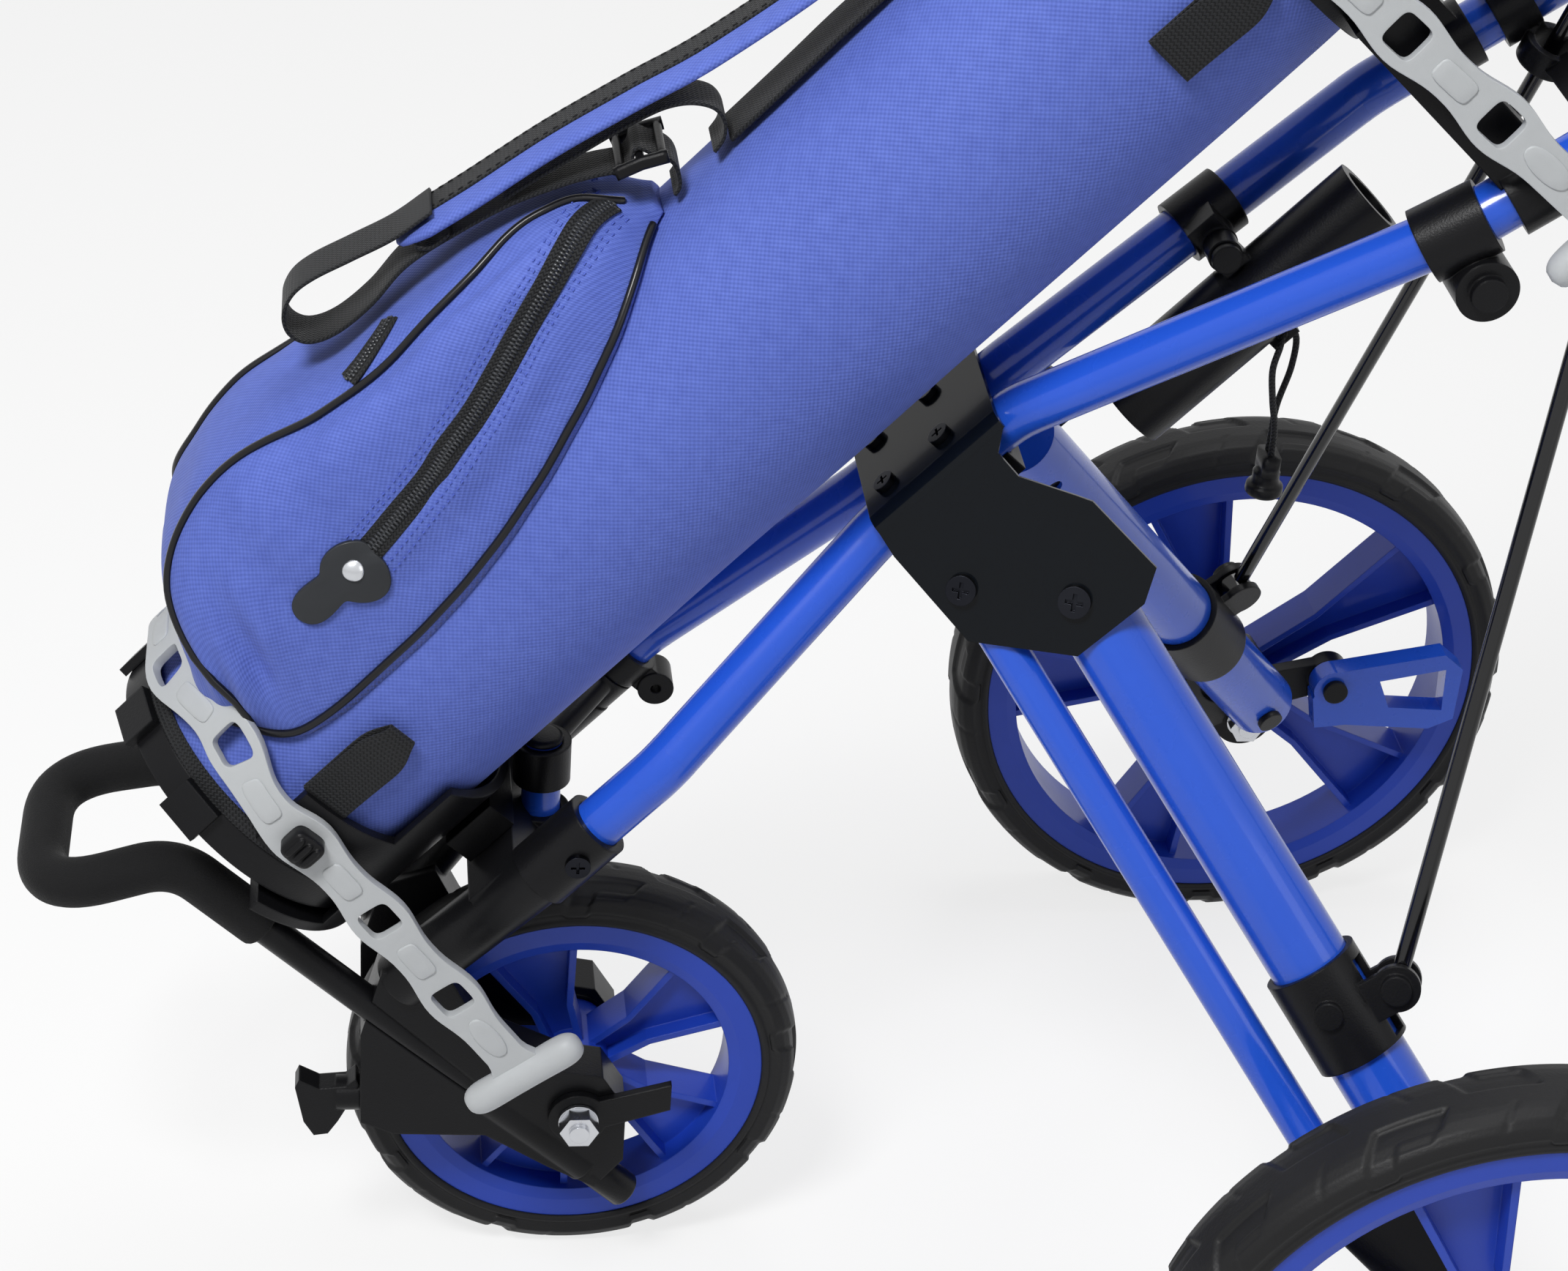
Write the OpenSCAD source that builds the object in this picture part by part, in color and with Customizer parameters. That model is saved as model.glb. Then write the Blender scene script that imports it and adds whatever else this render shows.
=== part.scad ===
// Golf bag strapped to a three-wheeled push cart, in millimetres.
// +X points forward to the front wheel, +Y to the left, +Z up; the wheels stand on z = 0.

/* [Wheels] */
// Radius of each rear wheel over the tread
rear_wheel_r = 163; // [155:1:170]
// Width of a rear tyre
rear_tyre_w = 44; // [36:1:48]
// Radius of the front wheel over the tread
front_wheel_r = 115; // [110:1:118]
// Width of the front tyre
front_tyre_w = 38; // [32:1:40]
// Height of a tyre above its rim
tyre_depth = 19; // [15:1:22]
// Number of spokes in each wheel
spoke_count = 5; // [4:1:7]
// Radius of the wheel axles
axle_r = 5; // [4:0.5:6]

/* [Frame] */
// Slope of the bag above the ground, in degrees
slope = 47.5; // [46:0.5:49]
// How far the bag axis's datum lies ahead of the front axle
datum_ahead = 53; // [50:1:56]
// Height of the bag axis's datum
datum_rise = 406; // [402:1:412]
// Diameter of the main frame tubes
tube_d = 25; // [22:0.5:26]
// Wall of every frame tube
tube_wall = 1.6; // [1:0.2:2.2]
// Distance from the bag axis down to the frame tubes
tube_drop = 110; // [108:0.5:113]
// Half the gap between the tube axes at the centre bracket
tube_inner_y = 20; // [18:0.5:21]
// Half the gap between the lower tubes at the fork
lower_outer_y = 59; // [57:1:61]
// Half the gap between the upper tubes at the bag rest
upper_outer_y = 74; // [72:1:76]
// Fall of the upper tubes away from the bag, as a slope
upper_fall = 0.215; // [0.2:0.005:0.23]

/* [Centre bracket] */
// Thickness of the folded sheet
sheet_t = 2.5; // [2:0.25:3]
// Splay of the bracket's wings, in degrees
wing_splay = 27; // [26:0.5:28]
// Half the width of the bracket at its fold
fold_y = 40; // [39:0.5:42]
// Outer radius of the fold
fold_r = 10; // [8:0.5:11]

/* [Rear legs] */
// Diameter of the main legs
leg_d = 38; // [34:0.5:38]
// Diameter of the parallel struts
strut_d = 19; // [16:0.5:20]
// Distance between the two pivots of a leg
leg_l = 329; // [322:1:334]
// Forward lean of a leg in its wing's plane, in degrees
leg_lean = 9.8; // [9:0.2:10.6]
// Diameter of the stay rods
rod_d = 8; // [6:0.5:9]
// Fold of the legs, in degrees
leg_fold = 60; // [50:1:60]
// Width between the mid-planes of the rear wheels
rear_track = 566; // [562:1:572]

/* [Fork and loop] */
// Distance of the fork blades' tubes from the middle
fork_y = 38; // [37:0.5:40]
// Diameter of the front loop's tube
loop_d = 16; // [14:0.5:18]
// Diameter of the foam on the loop
foam_d = 24; // [21:0.5:26]
// Half the width of the loop at its front
loop_half_w = 48; // [46:1:52]
// Diameter of the centre post
post_d = 19; // [17:0.5:21]

/* [Bag] */
// Outer radius of the bag's tube
bag_r = 75; // [72:0.5:76]
// Thickness of the bag's padded wall
bag_wall = 5; // [3:0.5:7]
// Length of the bag ahead of the datum
bag_foot = 150; // [146:1:152]
// Length of the bag behind the datum
bag_head = 575; // [540:5:590]
// Height of the pocket's crown above the bag axis
pocket_d = 140; // [132:1:144]
// Half the width of the pocket
pocket_half_w = 70; // [66:1:72]

/* [Straps] */
// Thickness of the ladder straps
strap_t = 5; // [4:0.5:6]
// Width of the ladder straps at a hole
strap_w = 27; // [24:0.5:30]
// Distance between two holes of a ladder strap
strap_pitch = 57; // [54:1:58]
// Width of the carry strap
carry_w = 34; // [30:1:38]

/* [Umbrella holder] */
// Radius of the umbrella socket
umbrella_r = 15; // [13:0.5:17]
// Length of the umbrella socket
umbrella_l = 60; // [50:1:64]
// Wall of the holder
holder_wall = 5; // [4:0.5:6]

/* [Handle] */
// Length of the handle from its hinge to its cross bar
handle_l = 330; // [320:5:345]
// Half the distance between the handle's side bars
handle_half_w = 102; // [102:1:110]
// Diameter of the handle's tube
handle_d = 20; // [18:0.5:22]
// Diameter of the handle's grip
grip_d = 30; // [27:1:34]

/* [Fits] */
// Gap round a piece that seats in another
seat_gap = 0.3; // [0.2:0.05:0.4]
// Radial gap of a pivot pin in its bore
pin_gap = 0.08; // [0.05:0.01:0.1]

/* [Hidden] */
$fn = 64;
facets = 32;
elbow_step = 0.05;
blue = [0.12, 0.30, 0.80];
rim_blue = [0.10, 0.22, 0.66];
bag_blue = [0.30, 0.38, 0.82];
black = [0.05, 0.05, 0.06];
tyre_black = [0.10, 0.10, 0.10];
foam_black = [0.13, 0.13, 0.13];
web_black = [0.08, 0.08, 0.08];
strap_grey = [0.66, 0.68, 0.69];
steel = [0.70, 0.71, 0.72];

// --- vectors -----------------------------------------------------------------
function unit(v) = v / norm(v);
function turn(v, axis, a) =
    v * cos(a) + cross(axis, v) * sin(a) + axis * (axis * v) * (1 - cos(a));
function flip(v, s) = [v[0], s * v[1], v[2]];

// The bag frame: d across the bag, up and forward; y to the left; s along the bag.
d_dir = [sin(slope), 0, cos(slope)];
s_dir = [-cos(slope), 0, sin(slope)];
datum = [datum_ahead, 0, datum_rise];
function bag_pt(d, y, s) = datum + d_dir * d + s_dir * s + [0, y, 0];

// The wing frame: w down the left wing, s along the bag, n out of the wing.
top_d = -tube_drop + tube_d / 2 + seat_gap + sheet_t;
w_dir = -d_dir * cos(wing_splay) + [0, sin(wing_splay), 0];
n_dir = d_dir * sin(wing_splay) + [0, cos(wing_splay), 0];
function wing_pt(w, s, n) = bag_pt(top_d, fold_y, s) + w_dir * w + n_dir * n;

// --- places ------------------------------------------------------------------
leg_dir = w_dir * cos(leg_lean) - s_dir * sin(leg_lean);
leg_n = -sheet_t - seat_gap - leg_d / 2;
strut_n = -sheet_t - seat_gap - strut_d / 2;
leg_pivot = [86, 203];
strut_pivot = [49, 167];
leg_top = wing_pt(leg_pivot[0], leg_pivot[1], leg_n);
strut_top = wing_pt(strut_pivot[0], strut_pivot[1], strut_n);
leg_end = leg_top + leg_dir * leg_l;
strut_end = strut_top + leg_dir * leg_l;
rear_x = leg_end[0] - 5;
rear_axle = [rear_x, rear_track / 2, rear_wheel_r];
front_axle_at = [0, 0, front_wheel_r];

// The stay rod: its eye on the leg clip, its guide under the upper tubes.
clip_t = 228;
clip_out = 31;
rod_eye = leg_top + leg_dir * clip_t + unit(cross(n_dir, leg_dir)) * clip_out
    + n_dir * (leg_d / 2 - 13);
guide_s = 508;
guide_y = 57;
guide_drop = 82;
rod_guide_at = bag_pt(-tube_drop - guide_drop, guide_y, guide_s);
rod_l = norm(rod_guide_at - rod_eye);
rod_dir = (rod_guide_at - rod_eye) / rod_l;
folded_eye = leg_top + turn(rod_eye - leg_top, n_dir, -leg_fold);
folded_rod = turn(unit(rod_guide_at - folded_eye), n_dir, leg_fold);
rod_axis = unit(cross(rod_dir, folded_rod));
rod_reach = norm(rod_guide_at - folded_eye) + 14;

// The front fork and loop, seen from the left.
loop_foot = [-9, fork_y, 72];
loop_knee = [195, 42, 272];
loop_front = [258, loop_half_w, 257];
post_x = 21;
post_low = 247;
post_top = 311;
knob_at = [108, 35, 122];
knob_dir = [1, 0, 0];

// The upper tubes turn parallel at upper_s, and the handle hinges at their ends.
upper_start = 187;
upper_bend_s = 232;
upper_s = 435;
tube_end_s = 585;
function upper_d(s) = -tube_drop - (s - upper_bend_s) * upper_fall;
upper_dir = unit(s_dir - d_dir * upper_fall);
hub_s = 600;
hub_at = bag_pt(upper_d(hub_s), 0, hub_s);
hub_r = 22;
hub_inner = upper_outer_y - 13;
hub_outer = upper_outer_y + tube_d / 2 + 4.5;

// The lower tubes run out to the fork between these two places.
lower_near_s = 150;
lower_far_s = 4;
lower_end_s = 183;
socket_s = -38;
socket_deep = 34;
function lower_y(s) =
    lower_outer_y - (s - lower_far_s) * (lower_outer_y - tube_inner_y) / (lower_near_s - lower_far_s);

// The umbrella holder and its clamp, on the right upper tube.
holder_s = 345;
holder_pin_d = -138;
holder_pin_y = -24.3;
holder_d = -167;
holder_y = -18;
holder_low_s = 262;
holder_high_s = 409;
function upper_y(s) = tube_inner_y
    + (min(s, upper_s) - upper_bend_s) * (upper_outer_y - tube_inner_y) / (upper_s - upper_bend_s);

front_end = loop_front[0] + foam_d / 2;
rear_end = (hub_at + upper_dir * handle_l)[0] - grip_d / 2;
mid_x = (front_end + rear_end) / 2;

// --- frames and helpers ------------------------------------------------------
module cart() {
    translate([-mid_x, 0, 0]) children();
}

module side(s) {
    mirror([0, s < 0 ? 1 : 0, 0]) children();
}

module bag_frame() {
    translate(datum) rotate([0, slope - 90, 0]) children();
}

// Places children drawn in (w, s, n).
module wing_frame() {
    at = wing_pt(0, 0, 0);
    multmatrix([
        [w_dir[0], s_dir[0], n_dir[0], at[0]],
        [w_dir[1], s_dir[1], n_dir[1], at[1]],
        [w_dir[2], s_dir[2], n_dir[2], at[2]],
        [0, 0, 0, 1]
    ]) children();
}

// Turns +Z to the direction v.
module aim(v) {
    rotate([0, acos(v[2] / norm(v)), atan2(v[1], v[0])]) children();
}

module rod_between(a, b, r) {
    translate(a) aim(b - a) cylinder(r = r, h = norm(b - a));
}

module pipe(a, b, r, wall) {
    h = norm(b - a);
    translate(a) aim(b - a) difference() {
        cylinder(r = r, h = h);
        translate([0, 0, -1]) cylinder(r = r - wall, h = h + 2);
    }
}

// A solid arc at corner p, turning from direction u to direction v.
module elbow(p, u, v, bend, r) {
    t = acos(u * v);
    start = p - u * bend * tan(t / 2);
    centre = p + unit(v - u) * bend / cos(t / 2);
    x = unit(start - centre);
    z = cross(x, u);
    multmatrix([
        [x[0], u[0], z[0], centre[0]],
        [x[1], u[1], z[1], centre[1]],
        [x[2], u[2], z[2], centre[2]],
        [0, 0, 0, 1]
    ]) rotate_extrude(angle = t) translate([bend, 0]) circle(r = r);
}

function trim_at(p, i, bend) =
    i == 0 || i == len(p) - 1 ? 0
    : bend * tan(acos(unit(p[i] - p[i - 1]) * unit(p[i + 1] - p[i])) / 2);

// A bent rod through the points p; its straights run a little way into its elbows.
module bent_rod(p, bend, r, over = 0) {
    n = len(p) - 1;
    for (i = [0 : n - 1]) {
        u = unit(p[i + 1] - p[i]);
        rod_between(
            p[i] + u * (i == 0 ? -over : trim_at(p, i, bend) - 1),
            p[i + 1] - u * (i == n - 1 ? -over : trim_at(p, i + 1, bend) - 1),
            r
        );
    }
    for (i = [1 : n - 1])
        elbow(p[i], unit(p[i] - p[i - 1]), unit(p[i + 1] - p[i]), bend, r + elbow_step);
}

module bent_pipe(p, bend, r, wall) {
    difference() {
        bent_rod(p, bend, r);
        bent_rod(p, bend, r - wall, 1);
    }
}

// A collar round the line from a to b.
module collar(a, b, r_out, r_in) {
    h = norm(b - a);
    translate(a) aim(b - a) difference() {
        cylinder(r = r_out, h = h);
        translate([0, 0, -1]) cylinder(r = r_in, h = h + 2);
    }
}

// A pan-head screw: z = 0 is its seat, the head rises above and the shank goes below.
module screw(head_r, head_h, shank_r, shank_l) {
    difference() {
        cylinder(r = head_r, h = head_h);
        for (a = [0, 90]) rotate([0, 0, a])
            translate([-head_r * 0.55, -head_r * 0.12, head_h * 0.45])
                cube([head_r * 1.1, head_r * 0.24, head_h]);
    }
    translate([0, 0, -shank_l]) cylinder(r = shank_r, h = shank_l + 0.01);
}

module nut(across, h) {
    cylinder(r = across / 2 / cos(30), h = h, $fn = 6);
}

// --- frame tubes -------------------------------------------------------------
lower_path = [
    bag_pt(-tube_drop, lower_outer_y, socket_s - socket_deep + 1),
    bag_pt(-tube_drop, lower_outer_y, lower_far_s),
    bag_pt(-tube_drop, tube_inner_y, lower_near_s),
    bag_pt(-tube_drop, tube_inner_y, lower_end_s)
];
upper_path = [
    bag_pt(-tube_drop, tube_inner_y, upper_start),
    bag_pt(-tube_drop, tube_inner_y, upper_bend_s),
    bag_pt(upper_d(upper_s), upper_outer_y, upper_s),
    bag_pt(upper_d(tube_end_s), upper_outer_y, tube_end_s)
];

module lower_tube(s) {
    color(blue) cart() side(s) bent_pipe(lower_path, 70, tube_d / 2, tube_wall);
}

module upper_tube(s) {
    color(blue) cart() side(s) bent_pipe(upper_path, 60, tube_d / 2, tube_wall);
}

// --- centre bracket ----------------------------------------------------------
flange_s = [155, 231];
fold_run = fold_r * tan((90 - wing_splay) / 2);
lap = 0.5;
wing_outline = [
    [fold_run - lap, 155], [18, 153], [69, 153], [106, 187], [107, 226],
    [98, 241], [57, 239], [50, 235], [27, 221], [13, 221], [fold_run - lap, 231]
];
bolt_s = [168, 202];
pin_r = 4;
strut_pin_r = 3;

module wing() {
    wing_frame() translate([0, 0, -sheet_t]) difference() {
        linear_extrude(sheet_t) polygon(wing_outline);
        translate([leg_pivot[0], leg_pivot[1], -1]) cylinder(r = pin_r + 0.1, h = sheet_t + 2);
        translate([strut_pivot[0], strut_pivot[1], -1])
            cylinder(r = strut_pin_r + 0.1, h = sheet_t + 2);
    }
}

module fold_arc() {
    span = flange_s[1] - flange_s[0];
    bag_frame() translate([top_d - fold_r, fold_y - fold_run, flange_s[0]])
        intersection() {
            difference() {
                cylinder(r = fold_r + elbow_step, h = span);
                translate([0, 0, -1])
                    cylinder(r = fold_r - sheet_t - elbow_step, h = span + 2);
            }
            linear_extrude(span) polygon([
                [0, 0], [2 * fold_r, 0], [2 * fold_r, 2 * fold_r * tan(90 - wing_splay)]
            ]);
        }
}

module centre_bracket() {
    color(black) cart() {
        bag_frame() difference() {
            translate([top_d - sheet_t, fold_run - fold_y - lap, flange_s[0]])
                cube([sheet_t, 2 * (fold_y - fold_run + lap), flange_s[1] - flange_s[0]]);
            for (y = [-1, 1], s = bolt_s) translate([top_d, y * tube_inner_y, s])
                rotate([0, -90, 0]) translate([0, 0, -1]) cylinder(r = 3.1, h = sheet_t + 2);
        }
        for (s = [-1, 1]) side(s) {
            fold_arc();
            wing();
        }
    }
}

module bracket_spacer() {
    high = top_d - sheet_t - seat_gap;
    low = -tube_drop - tube_d / 2 - 8;
    color(black) cart() bag_frame() difference() {
        translate([low, -30, 190]) cube([high - low, 60, 30]);
        for (y = [-1, 1]) {
            translate([-tube_drop, y * tube_inner_y, 180])
                cylinder(r = tube_d / 2 + seat_gap, h = 60);
            translate([-tube_drop, y * tube_inner_y - tube_d / 2 - seat_gap, 180])
                cube([tube_d, tube_d + 2 * seat_gap, 60]);
            translate([high - 4, y * tube_inner_y, 202]) rotate([0, 90, 0]) cylinder(r = 4, h = 9);
        }
        for (s = [194 : 7 : 215]) translate([low - 1, -6, s]) cube([14, 12, 3]);
    }
}

module frame_screws() {
    color(steel * 0.25) cart() {
        for (y = [-1, 1], s = bolt_s)
            translate(bag_pt(top_d, y * tube_inner_y, s)) aim(d_dir)
                screw(5.5, 3, 3, sheet_t + seat_gap / 2);
        for (m = [-1, 1]) side(m) {
            translate(wing_pt(leg_pivot[0], leg_pivot[1], 0)) aim(n_dir)
                screw(7.5, 4, pin_r, leg_d + sheet_t - 2);
            translate(wing_pt(strut_pivot[0], strut_pivot[1], 0)) aim(n_dir)
                screw(7, 4, strut_pin_r, strut_d + sheet_t - 1);
            translate(bag_pt(-tube_drop, lower_outer_y + tube_d / 2 + 4.5, socket_s - 15))
                aim([0, 1, 0]) screw(6, 3, 2.5, 3.6);
        }
    }
}

// --- fork, post and cradle ---------------------------------------------------
blade_outline = [
    [71, 216], [98, 206], [knob_at[0], 168], [knob_at[0], 112], [92, 104], [46, 102],
    [14, 80], [-10, 66], [-24, 84], [-24, 118], [-12, 138], [8, 142], [38, 158], [58, 188]
];
blade_in = 23;
blade_out = 47;
arm_r = 15;
socket_r = tube_d / 2 + 4.5;

module fork_half() {
    rod_between(bag_pt(-tube_drop, lower_outer_y, socket_s - socket_deep - 1),
        [88, fork_y, 196], arm_r);
    rod_between(bag_pt(-tube_drop, lower_outer_y, socket_s),
        bag_pt(-tube_drop, lower_outer_y, socket_s - socket_deep - 6), socket_r);
    translate([0, blade_in, 0]) rotate([90, 0, 0]) mirror([0, 0, 1])
        linear_extrude(blade_out - blade_in) polygon(blade_outline);
    rod_between(loop_foot + [4, 0, 4], loop_foot + [60, 0, 55], 11);
    translate([0, blade_in - 0.4, front_wheel_r]) rotate([-90, 0, 0])
        cylinder(r = 20, h = blade_out - blade_in);
}

module fork_cuts() {
    pa = bag_pt(-tube_drop, lower_outer_y, socket_s + 1);
    pb = bag_pt(-tube_drop, lower_outer_y, socket_s - socket_deep);
    rod_between(pa, pb, tube_d / 2 + seat_gap);
    u = unit(loop_knee - loop_foot);
    rod_between(loop_foot - u * 6, loop_knee, loop_d / 2 + seat_gap);
    translate(bag_pt(-tube_drop, lower_outer_y, socket_s - 15)) aim([0, 1, 0])
        cylinder(r = 2.6, h = 40);
    translate([0, -1, front_wheel_r]) rotate([-90, 0, 0]) cylinder(r = axle_r + 0.1, h = 80);
}

module front_fork() {
    color(black) cart() difference() {
        union() {
            for (s = [-1, 1]) side(s) fork_half();
            bag_frame() translate([-124, -lower_outer_y, -111])
                cube([28, 2 * lower_outer_y, 30.5]);
            translate([post_x, 0, post_low - 9]) cylinder(r = post_d / 2 + 4.5, h = 34);
        }
        for (s = [-1, 1]) side(s) fork_cuts();
        translate([post_x, 0, post_low]) cylinder(r = post_d / 2 + seat_gap, h = 80);
    }
}

module centre_post() {
    color(blue) cart() translate([post_x, 0, post_low]) difference() {
        cylinder(r = post_d / 2, h = post_top - post_low);
        translate([0, 0, -1]) cylinder(r = post_d / 2 - tube_wall, h = post_top - post_low + 2);
    }
}

// Joins the post's top to the right lower tube.
module post_collar() {
    a = bag_pt(-tube_drop, -lower_outer_y, socket_s + 1.5);
    b = bag_pt(-tube_drop, -lower_outer_y, socket_s + 17);
    color(black) cart() difference() {
        union() {
            rod_between(a, b, tube_d / 2 + 4);
            translate([post_x, 0, post_top - 22]) cylinder(r = post_d / 2 + 4.5, h = 22);
            rod_between([post_x, -8, post_top - 11], b + [0, 12, 0] - s_dir * 6, 6);
        }
        rod_between(a - s_dir * 9, b + s_dir * 9, tube_d / 2 + seat_gap);
        translate([post_x, 0, post_top - 40]) cylinder(r = post_d / 2 + seat_gap, h = 60);
    }
}

module tube_clip() {
    a = bag_pt(-tube_drop, -lower_outer_y, socket_s + 18);
    b = bag_pt(-tube_drop, -lower_outer_y, socket_s + 33);
    u = unit(b - a);
    color(black) cart() difference() {
        union() {
            rod_between(a, b, tube_d / 2 + 4);
            translate((a + b) / 2 - d_dir * 24) aim([0, 1, 0]) translate([0, 0, -9])
                cylinder(r = 9, h = 18);
            translate((a + b) / 2 - d_dir * 12) bag_turn() cube([26, 16.6, 14], center = true);
        }
        rod_between(a - u * 6, b + u * 6, tube_d / 2 + seat_gap);
        translate((a + b) / 2 - d_dir * 24) aim([0, 1, 0]) translate([0, 0, -10])
            cylinder(r = 2.6, h = 20);
    }
}

module bag_turn() {
    rotate([0, slope - 90, 0]) children();
}

peg_s = -122;
cradle_in = bag_r + 1.5 + seat_gap;
cradle_out = cradle_in + 5;

module half_ring(r_out, r_in, s0, s1, rise) {
    translate([0, 0, s0]) difference() {
        intersection() {
            cylinder(r = r_out, h = s1 - s0);
            translate([-2 * r_out, -2 * r_out, -1]) cube([2 * r_out + rise, 4 * r_out, s1 - s0 + 2]);
        }
        translate([0, 0, -1]) cylinder(r = r_in, h = s1 - s0 + 2);
    }
}

module peg(s, out) {
    translate([-2, out - 2, s]) rotate([-90, 0, 0]) cylinder(r = 6, h = strap_t + 8);
    translate([-2, out + strap_t + 4, s]) rotate([-90, 0, 0]) cylinder(r = 8, h = 3);
}

module bag_cradle() {
    color(black) cart() bag_frame() {
        difference() {
            union() {
                half_ring(cradle_out, cradle_in, -138, -104, 12);
                half_ring(cradle_out, cradle_in, -104, -66, -42);
                translate([-123.5 + 28, -32, -110 + 2]) cube([16, 64, 30]);
            }
            translate([0, 0, -170]) cylinder(r = cradle_in, h = 120);
        }
        difference() {
            translate([0, 0, -170]) intersection() {
                cylinder(r = cradle_out, h = 6);
                translate([-100, -100, -1]) cube([88, 200, 8]);
            }
            translate([-48, 0, -171]) cylinder(r = 20, h = 8);
        }
        half_ring(cradle_out, cradle_in, -165, -137, -52);
        for (m = [-1, 1]) side(m) peg(peg_s, cradle_out);
    }
}

// --- front loop --------------------------------------------------------------
loop_path = [
    loop_foot, loop_knee, loop_front,
    flip(loop_front, -1), flip(loop_knee, -1), flip(loop_foot, -1)
];
foam_start = loop_foot + (loop_knee - loop_foot) * 0.80;

module front_loop() {
    color(black) cart() bent_pipe(loop_path, 30, loop_d / 2, tube_wall);
}

module loop_foam() {
    path = [
        foam_start, loop_knee, loop_front,
        flip(loop_front, -1), flip(loop_knee, -1), flip(foam_start, -1)
    ];
    color(foam_black) cart()
        bent_pipe(path, 30, foam_d / 2, foam_d / 2 - loop_d / 2 - seat_gap / 2);
}

module front_axle() {
    out = blade_out + 4.6;
    color(steel) cart() translate(front_axle_at) rotate([-90, 0, 0]) {
        translate([0, 0, -out - 12]) cylinder(r = axle_r, h = 2 * out + 24);
        for (m = [-1, 1]) rotate([m < 0 ? 180 : 0, 0, 0]) translate([0, 0, out]) difference() {
            union() {
                cylinder(r = 10, h = 2);
                translate([0, 0, 2]) nut(17, 8);
            }
            translate([0, 0, -1]) cylinder(r = axle_r, h = 12);
        }
    }
}

module tracking_lever() {
    color(black) cart() translate([0, blade_out + seat_gap, front_wheel_r]) rotate([-90, 0, 0])
        difference() {
            union() {
                cylinder(r = 15, h = 4);
                linear_extrude(4) polygon([[-10, -11], [-46, -21], [-46, -5], [-6, 8]]);
            }
            translate([0, 0, -1]) cylinder(r = axle_r + pin_gap, h = 6);
        }
}

// A stub forward of the fork that carries an upright wing with a hollowed top.
knob_outline = [[8, -14], [13, -22], [20, -23], [25, -14], [29, 8], [27, 13], [17, 7], [4, 8],
    [-1, 13], [-2.5, 9], [2, -2]];

module wing_knob() {
    color(black) cart() translate(knob_at + [seat_gap, 0, 0]) {
        aim(knob_dir) cylinder(r = 9, h = 12);
        translate([3, 6, 0]) rotate([90, 0, 0]) linear_extrude(12) polygon(knob_outline);
    }
}

// --- upper frame -------------------------------------------------------------
module on_upper(s) {
    translate(bag_pt(upper_d(s), upper_y(s), s)) children();
}

function splay_dir() = unit(upper_path[2] - upper_path[1]);

module clamp_left() {
    c = bag_pt(upper_d(436), upper_y(436), 436);
    u = unit(splay_dir() + upper_dir);
    boss = bag_pt(-177, upper_y(436) + 6, 430);
    color(black) cart() difference() {
        union() {
            rod_between(c - u * 15, c + u * 15, tube_d / 2 + 4.5);
            translate(boss - [0, 12, 0]) aim([0, 1, 0]) cylinder(r = 14, h = 24);
            rod_between(c - d_dir * 10, boss, 11);
            translate(boss + [0, 11, 0]) aim([0, 1, 0]) cylinder(r = 8, h = 5);
        }
        bent_rod(upper_path, 60, tube_d / 2 + seat_gap);
    }
}

module clamp_right() {
    c = flip(bag_pt(upper_d(holder_s), upper_y(holder_s), holder_s), -1);
    u = flip(splay_dir(), -1);
    pin = bag_pt(holder_pin_d, holder_pin_y, holder_s);
    color(black) cart() difference() {
        union() {
            rod_between(c - u * 14, c + u * 14, tube_d / 2 + 3.5);
            translate(pin - [0, 13.7, 0]) aim([0, 1, 0]) cylinder(r = 8.5, h = 13.7);
            bag_frame() translate([holder_pin_d, holder_pin_y - 13.4, holder_s - 8])
                cube([14, 13, 16]);
            translate(pin) aim([0, 1, 0]) cylinder(r = pin_r, h = 14);
            translate(pin + [0, 12.2, 0]) aim([0, 1, 0]) cylinder(r = 7, h = 4);
        }
        rod_between(c - u * 30, c + u * 30, tube_d / 2 + seat_gap);
    }
}

upper_peg_s = 474;

module upper_cradle() {
    low = bag_pt(upper_d(461), upper_outer_y, 461);
    high = bag_pt(upper_d(488), upper_outer_y, 488);
    color(black) cart() difference() {
        union() {
            bag_frame() {
                half_ring(cradle_out, cradle_in, 458, 491, 12);
                for (m = [-1, 1]) side(m) {
                    translate([-160, 64, 462]) cube([112, 17.4, 25]);
                    peg(upper_peg_s, cradle_out);
                }
                translate([-96, -66, 466]) cube([10, 132, 16]);
            }
            for (m = [-1, 1]) side(m) rod_between(low, high, tube_d / 2 + 4.5);
        }
        for (m = [-1, 1]) side(m)
            rod_between(low - upper_dir * 20, high + upper_dir * 20, tube_d / 2 + seat_gap);
        bag_frame() translate([0, 0, 440]) cylinder(r = cradle_in, h = 70);
    }
}

ring_in = 10;

module rod_guide() {
    low = bag_pt(upper_d(499), upper_outer_y, 499);
    high = bag_pt(upper_d(517), upper_outer_y, 517);
    mid = bag_pt(upper_d(508), upper_outer_y, 508);
    color(black) cart() difference() {
        union() {
            for (m = [-1, 1]) side(m) {
                rod_between(low, high, tube_d / 2 + 4);
                translate(rod_guide_at) aim(rod_dir) translate([0, 0, -6])
                    cylinder(r = ring_in + 4, h = 12);
                rod_between(mid, rod_guide_at, 6.5);
            }
            bag_frame() translate([-197, -50, 501.5]) cube([6.5, 100, 13]);
        }
        for (m = [-1, 1]) side(m) {
            rod_between(low - upper_dir * 20, high + upper_dir * 20, tube_d / 2 + seat_gap);
            translate(rod_guide_at) aim(rod_dir) translate([0, 0, -40])
                cylinder(r = ring_in, h = 80);
        }
    }
}

hinge_pin_r = 6;
knuckle_h = handle_half_w + handle_d / 2 + 1 - hub_outer;

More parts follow.
